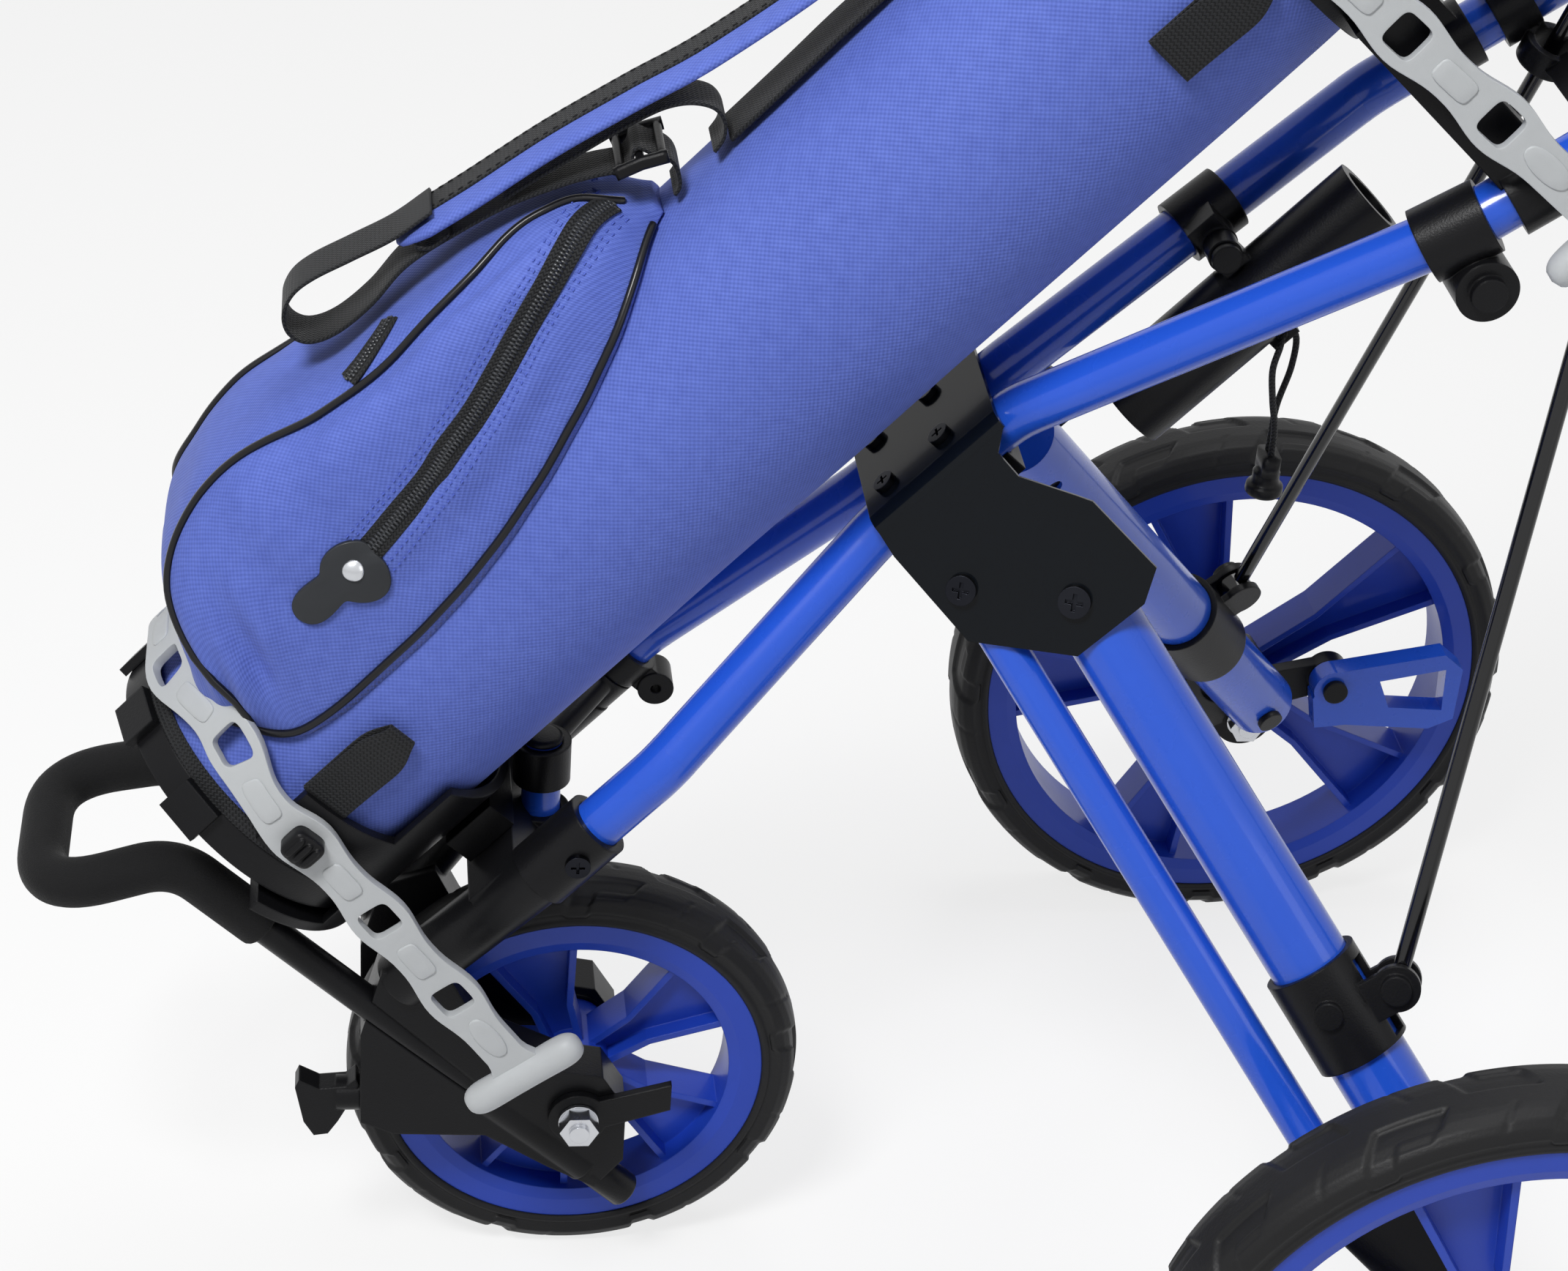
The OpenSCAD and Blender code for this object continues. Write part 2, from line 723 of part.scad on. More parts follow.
module handle_hubs() {
    sleeve = bag_pt(upper_d(560), upper_outer_y, 560);
    tip = bag_pt(upper_d(tube_end_s), upper_outer_y, tube_end_s);
    color(black) cart() {
        for (m = [-1, 1]) side(m) difference() {
            union() {
                rod_between(sleeve, tip + upper_dir * 6, tube_d / 2 + 4);
                translate(hub_at + [0, hub_inner, 0]) aim([0, 1, 0])
                    cylinder(r = hub_r, h = hub_outer - hub_inner);
                translate(hub_at + [0, hub_outer, 0]) aim([0, 1, 0])
                    cylinder(r = hinge_pin_r, h = knuckle_h + 2 * seat_gap + 1);
                translate(hub_at + [0, hub_outer + knuckle_h + 2 * seat_gap, 0]) aim([0, 1, 0])
                    cylinder(r = 10, h = 4);
            }
            rod_between(sleeve - upper_dir * 9, tip + upper_dir * 0.5, tube_d / 2 + seat_gap);
        }
        translate(hub_at - d_dir * 9.2 - [0, hub_inner + 1, 0]) aim([0, 1, 0])
            cylinder(r = 7.5, h = 2 * hub_inner + 2);
    }
}

module handle_tube() {
    y = handle_half_w;
    start = hub_at + upper_dir * 14 + [0, y, 0];
    turn_at = hub_at + upper_dir * handle_l + [0, y, 0];
    color(blue) cart() {
        difference() {
            bent_pipe([start, turn_at, flip(turn_at, -1), flip(start, -1)], 42,
                handle_d / 2, tube_wall);
            for (m = [-1, 1]) side(m) translate(hub_at + [0, hub_outer + seat_gap, 0])
                aim([0, 1, 0]) translate([0, 0, -2]) cylinder(r = hub_r - 0.5, h = knuckle_h + 4);
        }
        for (m = [-1, 1]) side(m) translate(hub_at + [0, hub_outer + seat_gap, 0])
            aim([0, 1, 0]) difference() {
                cylinder(r = hub_r - 0.45, h = knuckle_h);
                translate([0, 0, -1]) cylinder(r = hinge_pin_r + pin_gap, h = knuckle_h + 2);
            }
    }
}

module handle_grip() {
    at = hub_at + upper_dir * handle_l;
    half = handle_half_w - 44;
    color(foam_black) cart() collar(at - [0, half, 0], at + [0, half, 0],
        grip_d / 2, handle_d / 2 + seat_gap / 2);
}

// --- straps ------------------------------------------------------------------
strap_r = cradle_out + seat_gap;
lower_tail = 164;
upper_tail = 175;

// The tail of a ladder strap, along -x from its first hole, with a T-shaped pull.
module strap_tail(l) {
    difference() {
        union() {
            translate([-l, -strap_w * 0.36, 0]) cube([l + 26, strap_w * 0.72, strap_t]);
            for (x = [0 : strap_pitch : l]) translate([-x, 0, 0])
                cylinder(r = strap_w / 2, h = strap_t);
        }
        for (x = [0 : strap_pitch : l]) translate([-x, 0, -1])
            cylinder(r = 8.4, h = strap_t + 2);
    }
    translate([-l - 8, -28, strap_t / 2]) rotate([-90, 0, 0]) cylinder(r = 9, h = 56);
    for (m = [-1, 1]) translate([-l - 8, m * 28, strap_t / 2]) sphere(r = 9);
}

module strap_band(s, gap_r) {
    translate([0, 0, s - strap_w * 0.4]) intersection() {
        difference() {
            cylinder(r = gap_r + strap_t, h = strap_w * 0.8);
            translate([0, 0, -1]) cylinder(r = gap_r, h = strap_w);
        }
        translate([24, -2 * gap_r, -1]) cube([2 * gap_r, 4 * gap_r, strap_w + 2]);
    }
}

// The tail leans by lean towards the foot of the bag and by out away from its side.
module ladder_strap(s, tail, lean, out) {
    difference() {
        union() {
            strap_band(s, strap_r);
            for (m = [-1, 1]) translate([-2, 0, s]) side(m) rotate([-90, 0, 0])
                translate([0, 0, strap_r]) {
                    translate([-14, -strap_w * 0.4, 0]) cube([46, strap_w * 0.8, strap_t]);
                }
            translate([-2, strap_r, s]) rotate([-90, 0, 0]) rotate([0, 0, -lean])
                rotate([0, out, 0]) strap_tail(tail);
        }
        for (m = [-1, 1]) side(m) translate([-2, strap_r - 1, s]) rotate([-90, 0, 0])
            cylinder(r = 6 + seat_gap, h = strap_t + 3);
        translate([0, 0, s - 60]) cylinder(r = strap_r - 0.05, h = 120);
    }
}

module lower_strap() {
    color(strap_grey) cart() bag_frame() ladder_strap(peg_s, lower_tail, 10.7, 1.5);
}

module upper_strap() {
    color(strap_grey) cart() bag_frame() ladder_strap(upper_peg_s, upper_tail, -4, 5.5);
}

// --- bag ---------------------------------------------------------------------
module bag_body() {
    color(bag_blue) cart() bag_frame() translate([0, 0, -bag_foot]) difference() {
        cylinder(r = bag_r, h = bag_foot + bag_head);
        translate([0, 0, bag_wall]) cylinder(r = bag_r - bag_wall, h = bag_foot + bag_head);
    }
}

module bag_base() {
    color(black) cart() bag_frame() {
        translate([0, 0, -bag_foot - 9]) difference() {
            cylinder(r = bag_r + 1.4, h = 16);
            translate([0, 0, 8.7]) cylinder(r = bag_r + 0.15, h = 20);
        }
        for (a = [-60, -20, 20, 60]) rotate([0, 0, a]) translate([bag_r + 1, -11, -bag_foot - 12])
            cube([4.5, 22, 19]);
    }
}

module bag_trim() {
    color(web_black) cart() bag_frame() translate([0, 0, -bag_foot + 8]) difference() {
        cylinder(r = bag_r + 1.4, h = 4);
        translate([0, 0, -1]) cylinder(r = bag_r + 0.15, h = 6);
    }
}

module bag_top() {
    r = bag_r + 4;
    color(web_black) cart() bag_frame() translate([0, 0, bag_head + seat_gap]) difference() {
        cylinder(r = r, h = 36);
        translate([0, 0, -1]) difference() {
            cylinder(r = bag_r - bag_wall - 3, h = 40);
            translate([-100, -4, -1]) cube([200, 8, 42]);
            rotate([0, 0, 90]) translate([0, -4, -1]) cube([100, 8, 42]);
        }
    }
}

// Sections of the pocket as [s, crown, half width, foot], for a crown of 140 mm.
pocket_sections = [
    [-110, 76, 0.74, 30], [-96, 112, 0.9, 20], [-70, 126, 0.97, 14], [-10, 132, 0.98, 14],
    [50, 125, 0.96, 18], [110, 110, 0.88, 30], [150, 95, 0.78, 44], [184, 72, 0.64, 56]
];

module pocket_slice(p) {
    crown = p[1] - 140 + pocket_d;
    w = pocket_half_w * p[2];
    translate([0, 0, p[0]]) linear_extrude(1) hull() {
        for (y = [-1, 1]) {
            translate([crown - 44, y * (w - 40)]) circle(r = 40, $fn = facets);
            translate([p[3] + 6, y * (w - 6)]) circle(r = 6, $fn = facets);
        }
        translate([crown - 52, 0]) circle(r = 52, $fn = facets);
    }
}

module pocket() {
    color(bag_blue) cart() bag_frame() difference() {
        hull() for (p = pocket_sections) pocket_slice(p);
        translate([0, 0, -130]) cylinder(r = bag_r + seat_gap, h = 340);
    }
}

// The zips are flat bands that stand just off the pocket's left side and crown.
side_zip = [[120, 84], [90, 88], [40, 88], [6, 82]];

module band(path, w, h) {
    for (i = [0 : len(path) - 2]) {
        a = path[i];
        b = path[i + 1];
        l = norm(b - a);
        translate([a[1], 0, a[0]]) rotate([0, atan2(b[1] - a[1], b[0] - a[0]), 0])
            translate([-w / 2, 0, 0]) cube([w, h, l + 1]);
    }
}

module pocket_zip() {
    color(web_black) cart() bag_frame() {
        translate([0, pocket_half_w + seat_gap, 0]) band(side_zip, 9, 1.6);
        translate([pocket_d - 7.8 + seat_gap, -12, -8]) rotate([0, -6.6, 0]) cube([1.6, 9, 56]);
    }
}

module zip_patch() {
    color(black) cart() bag_frame() translate([70, pocket_half_w + seat_gap, -20])
        rotate([-90, 0, 0]) {
            cylinder(r = 13, h = 1.8);
            translate([-12, 14, 0]) cylinder(r = 9, h = 1.8);
            translate([-20, -4, 0]) cylinder(r = 8, h = 1.8);
            translate([4, -3, 1.8]) cylinder(r = 4, h = 2);
        }
}

// The padded carry strap, as a band in (s, d).
carry_path = [[104, 142], [180, 125], [260, 104], [330, 94], [420, 90], [500, 89], [538, 77],
    [560, 75.3]];

// The outward normal of a path at point i, away from the bag for a path that runs up it.
function path_out(path, i) =
    let (v = unit(path[min(i + 1, len(path) - 1)] - path[max(i - 1, 0)])) [-v[1], v[0]];

module strap_run(path, w, t, y0) {
    n = len(path) - 1;
    translate([0, y0 + w / 2, 0]) rotate([90, 0, 0]) linear_extrude(w) polygon(concat(
        [for (i = [0 : n]) let (q = path[i] + t * path_out(path, i)) [q[1], q[0]]],
        [for (i = [n : -1 : 0]) [path[i][1], path[i][0]]]
    ));
}

module carry_strap() {
    color(bag_blue) cart() bag_frame() strap_run(carry_path, carry_w, 5, 4);
}

web_path = [
    [116, 147.4], [80, 156], [56, 162], [47, 159], [47, 152], [56, 147], [80, 141.4],
    [120, 131.5], [160, 122], [185, 113], [204, 103]
];
anchor_path = [[206, 95.2], [222, 89], [231, 80], [236, 75.4]];

module strap_webbing() {
    color(web_black) cart() bag_frame() {
        strap_run(web_path, 25, 1.6, 4);
        strap_run(anchor_path, 25, 1.6, 4);
    }
}

// Moves a path out by k along its normals.
function moved(path, k) = [for (i = [0 : len(path) - 1]) path[i] + k * path_out(path, i)];

module tri_glide() {
    color(black) cart() bag_frame() difference() {
        translate([99.5, 4, 204]) rotate([0, -25, 0]) translate([-5, -19, -11])
            cube([9, 38, 22]);
        for (p = [web_path, anchor_path])
            strap_run(moved(p, -seat_gap), 26, 1.6 + 2 * seat_gap, 4);
    }
}

module web_tab(s, a) {
    rotate([0, 0, a]) translate([bag_r + seat_gap, -12, s]) cube([4, 24, 34]);
}

module bag_webbing() {
    color(web_black) cart() bag_frame() {
        translate([bag_r + seat_gap, -14, 240]) cube([1.8, 28, 284]);
        web_tab(-58, 92);
        web_tab(396, 92);
    }
}

// --- umbrella holder ---------------------------------------------------------
module umbrella_holder() {
    r = umbrella_r + holder_wall;
    mouth = holder_high_s - umbrella_l;
    pin_h = 11.6;
    color(black) cart() difference() {
        union() {
            bag_frame() translate([holder_d, holder_y, 0]) {
                translate([0, 0, holder_low_s]) cylinder(r = r + 1, h = 334 - holder_low_s);
                translate([0, 0, 333.5]) cylinder(r1 = r + 0.9, r2 = r - 0.1, h = 5);
                translate([0, 0, 333]) cylinder(r = r, h = holder_high_s - 333);
                translate([-r - 8, -3, 330]) cube([14, 6, 14]);
            }
            translate(bag_pt(holder_pin_d, holder_pin_y + seat_gap, holder_s))
                aim([0, 1, 0]) cylinder(r = 8, h = pin_h);
            bag_frame() translate([holder_d, holder_pin_y + seat_gap + 0.4, holder_s - 7])
                cube([holder_pin_d - holder_d, pin_h - 0.8, 14]);
        }
        bag_frame() translate([holder_d, holder_y, mouth]) cylinder(r = umbrella_r, h = 99);
        bag_frame() translate([holder_d, holder_y, holder_low_s - 1]) cylinder(r = 12, h = 99);
        bag_frame() translate([holder_d - r - 4, holder_y, 337]) rotate([-90, 0, 0])
            translate([0, 0, -9]) cylinder(r = 2.6, h = 18);
        translate(bag_pt(holder_pin_d, holder_pin_y - 1, holder_s)) aim([0, 1, 0])
            cylinder(r = pin_r + pin_gap, h = 30);
    }
}

// The bungee hangs from the holder's eye as a loop; points are in the cart's frame.
eye_at = bag_pt(holder_d - umbrella_r - holder_wall - 4, holder_y, 337);
cord_r = 1.5;
cord_points = [
    [-4, 3, -64], [-3, 4, -48], [1, 7, -32], [4, 9, -15], [1.5, 6.5, -4], [0, 2, 0],
    [0, -2, 0], [-2, -6.5, -2], [-10, -9, -6], [-10, -8, -22], [-5, -5, -42], [-4, -3, -64]
];
cord_sides = 8;

function ring_at(p, u, r, n) =
    let (x = unit(cross(u, [1, 0.02, 0.03])), z = cross(u, x))
    [for (k = [0 : n - 1]) p + r * (x * cos(360 * k / n) + z * sin(360 * k / n))];

module cord(points, r, n) {
    m = len(points);
    rings = [for (i = [0 : m - 1]) let (
        a = points[max(i - 1, 0)],
        b = points[min(i + 1, m - 1)]
    ) ring_at(points[i], unit(b - a), r, n)];
    polyhedron(
        points = [for (q = rings) for (v = q) v],
        faces = concat(
            [[for (k = [0 : n - 1]) k]],
            [[for (k = [0 : n - 1]) m * n - 1 - k]],
            [for (i = [0 : m - 2]) for (k = [0 : n - 1])
                let (a = i * n + k, b = i * n + (k + 1) % n) [a, a + n, b + n, b]]
        )
    );
}

module bungee_cord() {
    color(web_black) cart() translate(eye_at) cord(cord_points, cord_r, cord_sides);
}

module bungee_toggle() {
    color(black) cart() translate(eye_at + [-4, 0, -86]) difference() {
        union() {
            cylinder(r = 9, h = 6);
            cylinder(r = 6.5, h = 14);
            translate([-4.5, -8, 12]) cube([9, 16, 10]);
        }
    }
}

// --- rear legs ---------------------------------------------------------------
strut_wall = 1.5;
leg_tail = 14;

module closed_pipe(a, b, r, wall, cap) {
    u = unit(b - a);
    difference() {
        rod_between(a, b, r);
        rod_between(a + u * cap, b - u * cap, r - wall);
    }
}

module leg(s) {
    color(blue) cart() side(s) difference() {
        closed_pipe(leg_top - leg_dir * 26, leg_end + leg_dir * leg_tail, leg_d / 2, 2, 40);
        for (p = [leg_top, leg_end]) translate(p) aim(n_dir) translate([0, 0, -40])
            cylinder(r = pin_r + pin_gap, h = 80);
    }
}

module strut(s) {
    color(blue) cart() side(s) difference() {
        closed_pipe(strut_top - leg_dir * 14, strut_end + leg_dir * 14,
            strut_d / 2, strut_wall, 24);
        for (p = [strut_top, strut_end]) translate(p) aim(n_dir) translate([0, 0, -40])
            cylinder(r = strut_pin_r + pin_gap, h = 80);
    }
}

eye_h = rod_d + 1;
cheek_t = 4;
clevis_h = eye_h / 2 + seat_gap + cheek_t;

// Places children with z along the rod's hinge and x towards the leg.
module at_eye() {
    x = unit(leg_top + leg_dir * clip_t - rod_eye);
    z = rod_axis;
    u = unit(x - z * (x * z));
    v = cross(z, u);
    multmatrix([
        [u[0], v[0], z[0], rod_eye[0]],
        [u[1], v[1], z[1], rod_eye[1]],
        [u[2], v[2], z[2], rod_eye[2]],
        [0, 0, 0, 1]
    ]) children();
}

module leg_clip(s) {
    at = leg_top + leg_dir * clip_t;
    color(black) cart() side(s) {
        difference() {
            union() {
                rod_between(at - leg_dir * 26, at + leg_dir * 22, leg_d / 2 + 3.5);
                at_eye() translate([0, 0, -clevis_h]) cylinder(r = 11, h = 2 * clevis_h);
                at_eye() translate([0, -10, -clevis_h]) cube([24, 20, 2 * clevis_h]);
                at_eye() translate([0, 0, clevis_h - 1]) cylinder(r = 7, h = 5);
                translate(at - leg_dir * 6 + n_dir * (leg_d / 2 + 3)) aim(n_dir)
                    cylinder(r = 6.5, h = 3.5);
            }
            rod_between(at - leg_dir * 40, at + leg_dir * 40, leg_d / 2 + 0.15);
            at_eye() translate([-20, -20, -eye_h / 2 - seat_gap])
                cube([34, 40, eye_h + 2 * seat_gap]);
        }
        at_eye() translate([0, 0, -clevis_h + 1]) cylinder(r = pin_r, h = 2 * clevis_h - 2);
    }
}

module rod(s) {
    color(black) cart() side(s) {
        difference() {
            union() {
                rod_between(rod_eye + rod_dir * 6, rod_eye + rod_dir * rod_reach, rod_d / 2);
                translate(rod_eye) aim(rod_axis) translate([0, 0, -eye_h / 2])
                    cylinder(r = 9, h = eye_h);
            }
            translate(rod_eye) aim(rod_axis) translate([0, 0, -20])
                cylinder(r = pin_r + pin_gap, h = 40);
        }
    }
}

plate_low = leg_d / 2 + 0.5;
plate_t = 11;
boss_y = [rear_track / 2 - 57, rear_track / 2 - rear_tyre_w / 2 - 5];
brake_at = [rear_x - 51, rear_track / 2 - rear_tyre_w / 2 - 18, rear_wheel_r + 20];
lever_h = 13;
pin_head_h = 3;

// Places children with z along +Y.
module along_y(at) {
    translate(at) rotate([-90, 0, 0]) children();
}

// A pin through a tube of radius r, with its head on the inner side.
module tube_pin(at, r, pin) {
    translate(at) aim(n_dir) {
        translate([0, 0, -r - pin_head_h]) cylinder(r = pin, h = 2 * r + pin_head_h + 3);
        translate([0, 0, -r - pin_head_h - seat_gap]) cylinder(r = pin + 3, h = pin_head_h);
    }
}

module bracket_plate() {
    lift = leg_n - strut_n;
    hull() {
        translate(leg_end) aim(n_dir) translate([0, 0, plate_low])
            cylinder(r = 17, h = plate_t, $fn = facets);
        translate(strut_end) aim(n_dir) translate([0, 0, plate_low + lift])
            cylinder(r = 12, h = plate_t, $fn = facets);
        along_y([rear_x, boss_y[0] + 14, rear_wheel_r])
            cylinder(r = 19, h = boss_y[1] - boss_y[0] - 14, $fn = facets);
    }
    along_y([rear_x, boss_y[0] + 4, rear_wheel_r])
        cylinder(r = 17, h = boss_y[1] - boss_y[0] - 4);
}

module brake_arm() {
    along_y(brake_at) cylinder(r = 12, h = 10);
    hull() {
        along_y(brake_at + [0, 1.5, 0]) cylinder(r = 10, h = 8, $fn = facets);
        along_y([rear_x - 6, brake_at[1] + 1.5, rear_wheel_r + 8])
            cylinder(r = 12, h = 8, $fn = facets);
    }
    along_y(brake_at - [0, lever_h + 2 * seat_gap + 2, 0])
        cylinder(r = pin_r, h = lever_h + 2 * seat_gap + 4);
    along_y(brake_at - [0, lever_h + 2 * seat_gap + pin_head_h, 0])
        cylinder(r = 7, h = pin_head_h);
}

module wheel_bracket(s) {
    color(black) cart() side(s) {
        difference() {
            union() {
                bracket_plate();
                if (s < 0) brake_arm();
            }
            along_y([rear_x, 0, rear_wheel_r]) cylinder(r = axle_r + 0.1, h = 2 * rear_track);
            along_y([rear_x, 0, rear_wheel_r]) cylinder(r = 12, h = boss_y[0] + 4);
            translate(leg_end) aim(n_dir) translate([0, 0, -40])
                cylinder(r = leg_d / 2 + 5, h = 40 + leg_d / 2 + seat_gap);
            translate(strut_end) aim(n_dir) translate([0, 0, -40])
                cylinder(r = strut_d / 2 + 8, h = 40 + strut_d / 2 + seat_gap);
        }
        tube_pin(leg_end, leg_d / 2, pin_r);
        tube_pin(strut_end, strut_d / 2, strut_pin_r);
    }
}

module rear_axle(s) {
    inner = boss_y[0] + 4 - seat_gap;
    outer = rear_track / 2 + rear_tyre_w / 2 + 6;
    color(steel) cart() side(s) translate([rear_x, 0, rear_wheel_r]) rotate([-90, 0, 0]) {
        translate([0, 0, inner - 12]) cylinder(r = axle_r, h = outer - inner + 12);
        translate([0, 0, inner - 10]) nut(17, 8);
        translate([0, 0, inner - 2]) cylinder(r = 10, h = 2);
        translate([0, 0, boss_y[1] + 0.5]) cylinder(r = 8, h = 3.6);
        translate([0, 0, outer - 4]) cylinder(r = 10, h = 4);
    }
}

module brake_lever() {
    at = flip(brake_at, -1) + [0, seat_gap, 0];
    color(blue) cart() along_y(at) difference() {
        union() {
            cylinder(r = 12, h = lever_h);
            linear_extrude(lever_h) polygon([
                [0, -12], [-62, -24], [-74, -14], [-74, 20], [-60, 27], [-10, 24],
                [8, 26], [12, 6]
            ]);
        }
        translate([0, 0, -1]) linear_extrude(lever_h + 2)
            polygon([[-26, -6], [-64, -14], [-66, 14], [-34, 12]]);
        translate([0, 0, -1]) cylinder(r = pin_r + pin_gap, h = lever_h + 2);
    }
}

// --- wheels ------------------------------------------------------------------
// A wheel is drawn round the z axis and then laid along y.
module rim(r, w, hub_w) {
    inner = r - 17;
    difference() {
        union() {
            rotate_extrude() polygon([
                [inner, -w / 2 + 2], [inner + 6, -w / 2], [r - 0.3, -w / 2], [r - 0.3, -w / 2 + 5],
                [r - 6, -w / 2 + 7], [r - 6, w / 2 - 7], [r - 0.3, w / 2 - 5], [r - 0.3, w / 2],
                [inner + 6, w / 2], [inner, w / 2 - 2]
            ]);
            translate([0, 0, -hub_w / 2]) cylinder(r = 18, h = hub_w);
            for (k = [0 : spoke_count - 1]) rotate([0, 0, 360 * k / spoke_count]) {
                translate([0, 0, -2]) linear_extrude(4) polygon([
                    [10, -9], [inner * 0.5, -11], [inner + 3, -26],
                    [inner + 3, 26], [inner * 0.5, 11], [10, 9]
                ]);
                for (m = [-1, 1]) translate([0, 0, -w * 0.32]) linear_extrude(w * 0.64) polygon([
                    [10, m * 9], [inner * 0.5, m * 11], [inner + 3, m * 26],
                    [inner + 3, m * 22], [inner * 0.5, m * 7.5], [10, m * 5]
                ]);
            }
        }
        translate([0, 0, -hub_w]) cylinder(r = axle_r + pin_gap, h = 2 * hub_w);
    }
}

module tyre(r, w, rim_r, lugs) {
    s = w / 2;
    difference() {
        rotate_extrude() difference() {
            polygon([
                [rim_r, -s + 1], [rim_r + 2, -s], [r - 9, -s], [r - 2, -s + 7], [r, -s + 14],
                [r, s - 14], [r - 2, s - 7], [r - 9, s], [rim_r + 2, s], [rim_r, s - 1]
            ]);
            polygon([
                [0, -s + 7.5], [rim_r + 3, -s + 7.5], [r - 7, -s + 9], [r - 7, s - 9],
                [rim_r + 3, s - 7.5], [0, s - 7.5]
            ]);
        }
        for (k = [0 : lugs - 1], m = [-1, 1])
            rotate([0, 0, 360 * (k + (m > 0 ? 0.5 : 0)) / lugs])
                translate([r - 3, -2, m > 0 ? s - 10 : -s - 1]) cube([6, 4, 11]);
    }
}

front_hub_w = 2 * (blade_in - 0.8);
rear_hub_w = rear_tyre_w - 1;

module front_rim() {
    color(rim_blue) cart() along_y(front_axle_at)
        rim(front_wheel_r - tyre_depth, front_tyre_w - 4, front_hub_w);
}

module front_tyre() {
    color(tyre_black) cart() along_y(front_axle_at)
        tyre(front_wheel_r, front_tyre_w, front_wheel_r - tyre_depth, 24);
}

module rear_rim(s) {
    color(rim_blue) cart() along_y(flip(rear_axle, s))
        rim(rear_wheel_r - tyre_depth, rear_tyre_w - 4, rear_hub_w);
}

module rear_tyre(s) {
    color(tyre_black) cart() along_y(flip(rear_axle, s))
        tyre(rear_wheel_r, rear_tyre_w, rear_wheel_r - tyre_depth, 30);
}

lower_tube(1);  // lower_tube_left
lower_tube(-1);  // lower_tube_right
upper_tube(1);  // upper_tube_left
upper_tube(-1);  // upper_tube_right
centre_bracket();
bracket_spacer();
frame_screws();
front_fork();
centre_post();
post_collar();
tube_clip();
bag_cradle();
front_loop();
loop_foam();
front_axle();
clamp_left();
clamp_right();
upper_cradle();
rod_guide();
handle_hubs();
lower_strap();
upper_strap();
bag_body();
bag_base();
bag_trim();
bag_top();
pocket();
pocket_zip();
zip_patch();
carry_strap();
strap_webbing();
bag_webbing();
tri_glide();
tracking_lever();
wing_knob();
umbrella_holder();
bungee_cord();
bungee_toggle();
leg(1);  // left_leg
leg(-1);  // right_leg
leg_clip(1);  // left_leg_clip
leg_clip(-1);  // right_leg_clip
strut(1);  // left_strut
strut(-1);  // right_strut
wheel_bracket(1);  // left_wheel_bracket
wheel_bracket(-1);  // right_wheel_bracket
rod(1);  // left_rod
rod(-1);  // right_rod
rear_axle(1);  // left_axle
rear_axle(-1);  // right_axle
brake_lever();
front_rim();
front_tyre();
rear_rim(1);  // left_rim
rear_tyre(1);  // left_tyre
rear_rim(-1);  // right_rim
rear_tyre(-1);  // right_tyre
handle_tube();
handle_grip();
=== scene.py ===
"""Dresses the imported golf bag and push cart: cloth, webbing, rubber, paint and light.

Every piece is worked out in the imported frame's metres. Bag pieces are written in the bag's
own millimetres: d across the bag (up and forward), y to the left, s along the bag.
"""
from __future__ import annotations

import logging
import math
from dataclasses import dataclass
from enum import Enum
from typing import Callable, Sequence

import bpy
import numpy as np
from mathutils import Matrix, Vector

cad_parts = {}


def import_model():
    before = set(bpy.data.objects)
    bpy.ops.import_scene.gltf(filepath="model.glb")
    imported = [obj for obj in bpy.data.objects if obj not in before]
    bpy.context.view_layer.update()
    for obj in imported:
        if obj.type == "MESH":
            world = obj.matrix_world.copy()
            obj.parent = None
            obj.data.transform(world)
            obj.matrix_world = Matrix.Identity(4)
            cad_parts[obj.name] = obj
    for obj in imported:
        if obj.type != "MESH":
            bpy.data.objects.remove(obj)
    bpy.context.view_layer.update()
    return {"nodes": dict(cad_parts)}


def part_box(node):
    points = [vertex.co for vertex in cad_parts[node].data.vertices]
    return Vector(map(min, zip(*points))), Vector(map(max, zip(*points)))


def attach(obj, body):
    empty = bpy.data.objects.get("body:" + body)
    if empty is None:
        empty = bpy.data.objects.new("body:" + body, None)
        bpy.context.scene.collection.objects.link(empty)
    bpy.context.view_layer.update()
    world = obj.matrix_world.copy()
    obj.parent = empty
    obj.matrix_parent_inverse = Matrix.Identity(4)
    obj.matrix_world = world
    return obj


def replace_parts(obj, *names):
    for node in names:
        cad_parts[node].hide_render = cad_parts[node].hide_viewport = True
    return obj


LOG = logging.getLogger("bag_cart")
Array = np.ndarray
Piece = bpy.types.Object
Socket = bpy.types.NodeSocket
MM = 0.001
UP = np.array([0.0, 0.0, 1.0])
LEFT = np.array([0.0, 1.0, 0.0])
FULL_TURN = 2 * math.pi


# --- frames and curves -----------------------------------------------------------------
@dataclass(frozen=True)
class BagFrame:
    """The bag's own frame, whose axis leans back from the front axle.

    Args:
        axle_x: forward place of the front axle, in metres.
        slope: slope of the bag, in degrees.
        ahead: how far the datum lies ahead of the axle, in millimetres.
        rise: height of the datum, in millimetres.
    """

    axle_x: float
    slope: float = 47.5
    ahead: float = 53.0
    rise: float = 406.0

    def place(self, d: Array | float, y: Array | float, s: Array | float) -> Array:
        """Turns bag millimetres into metres: datum + d * across + s * along + y * left."""
        a = math.radians(self.slope)
        d, y, s = np.broadcast_arrays(np.asarray(d, float), np.asarray(y, float), np.asarray(s, float))
        x = self.ahead + d * math.sin(a) - s * math.cos(a)
        z = self.rise + d * math.cos(a) + s * math.sin(a)
        return np.stack([x * MM + self.axle_x, y * MM, z * MM], axis=-1)

    def cart(self, points: Sequence[Sequence[float]]) -> Array:
        """Turns millimetres from the floor below the front axle's middle into metres."""
        return np.asarray(points, float) * MM + np.array([self.axle_x, 0.0, 0.0])


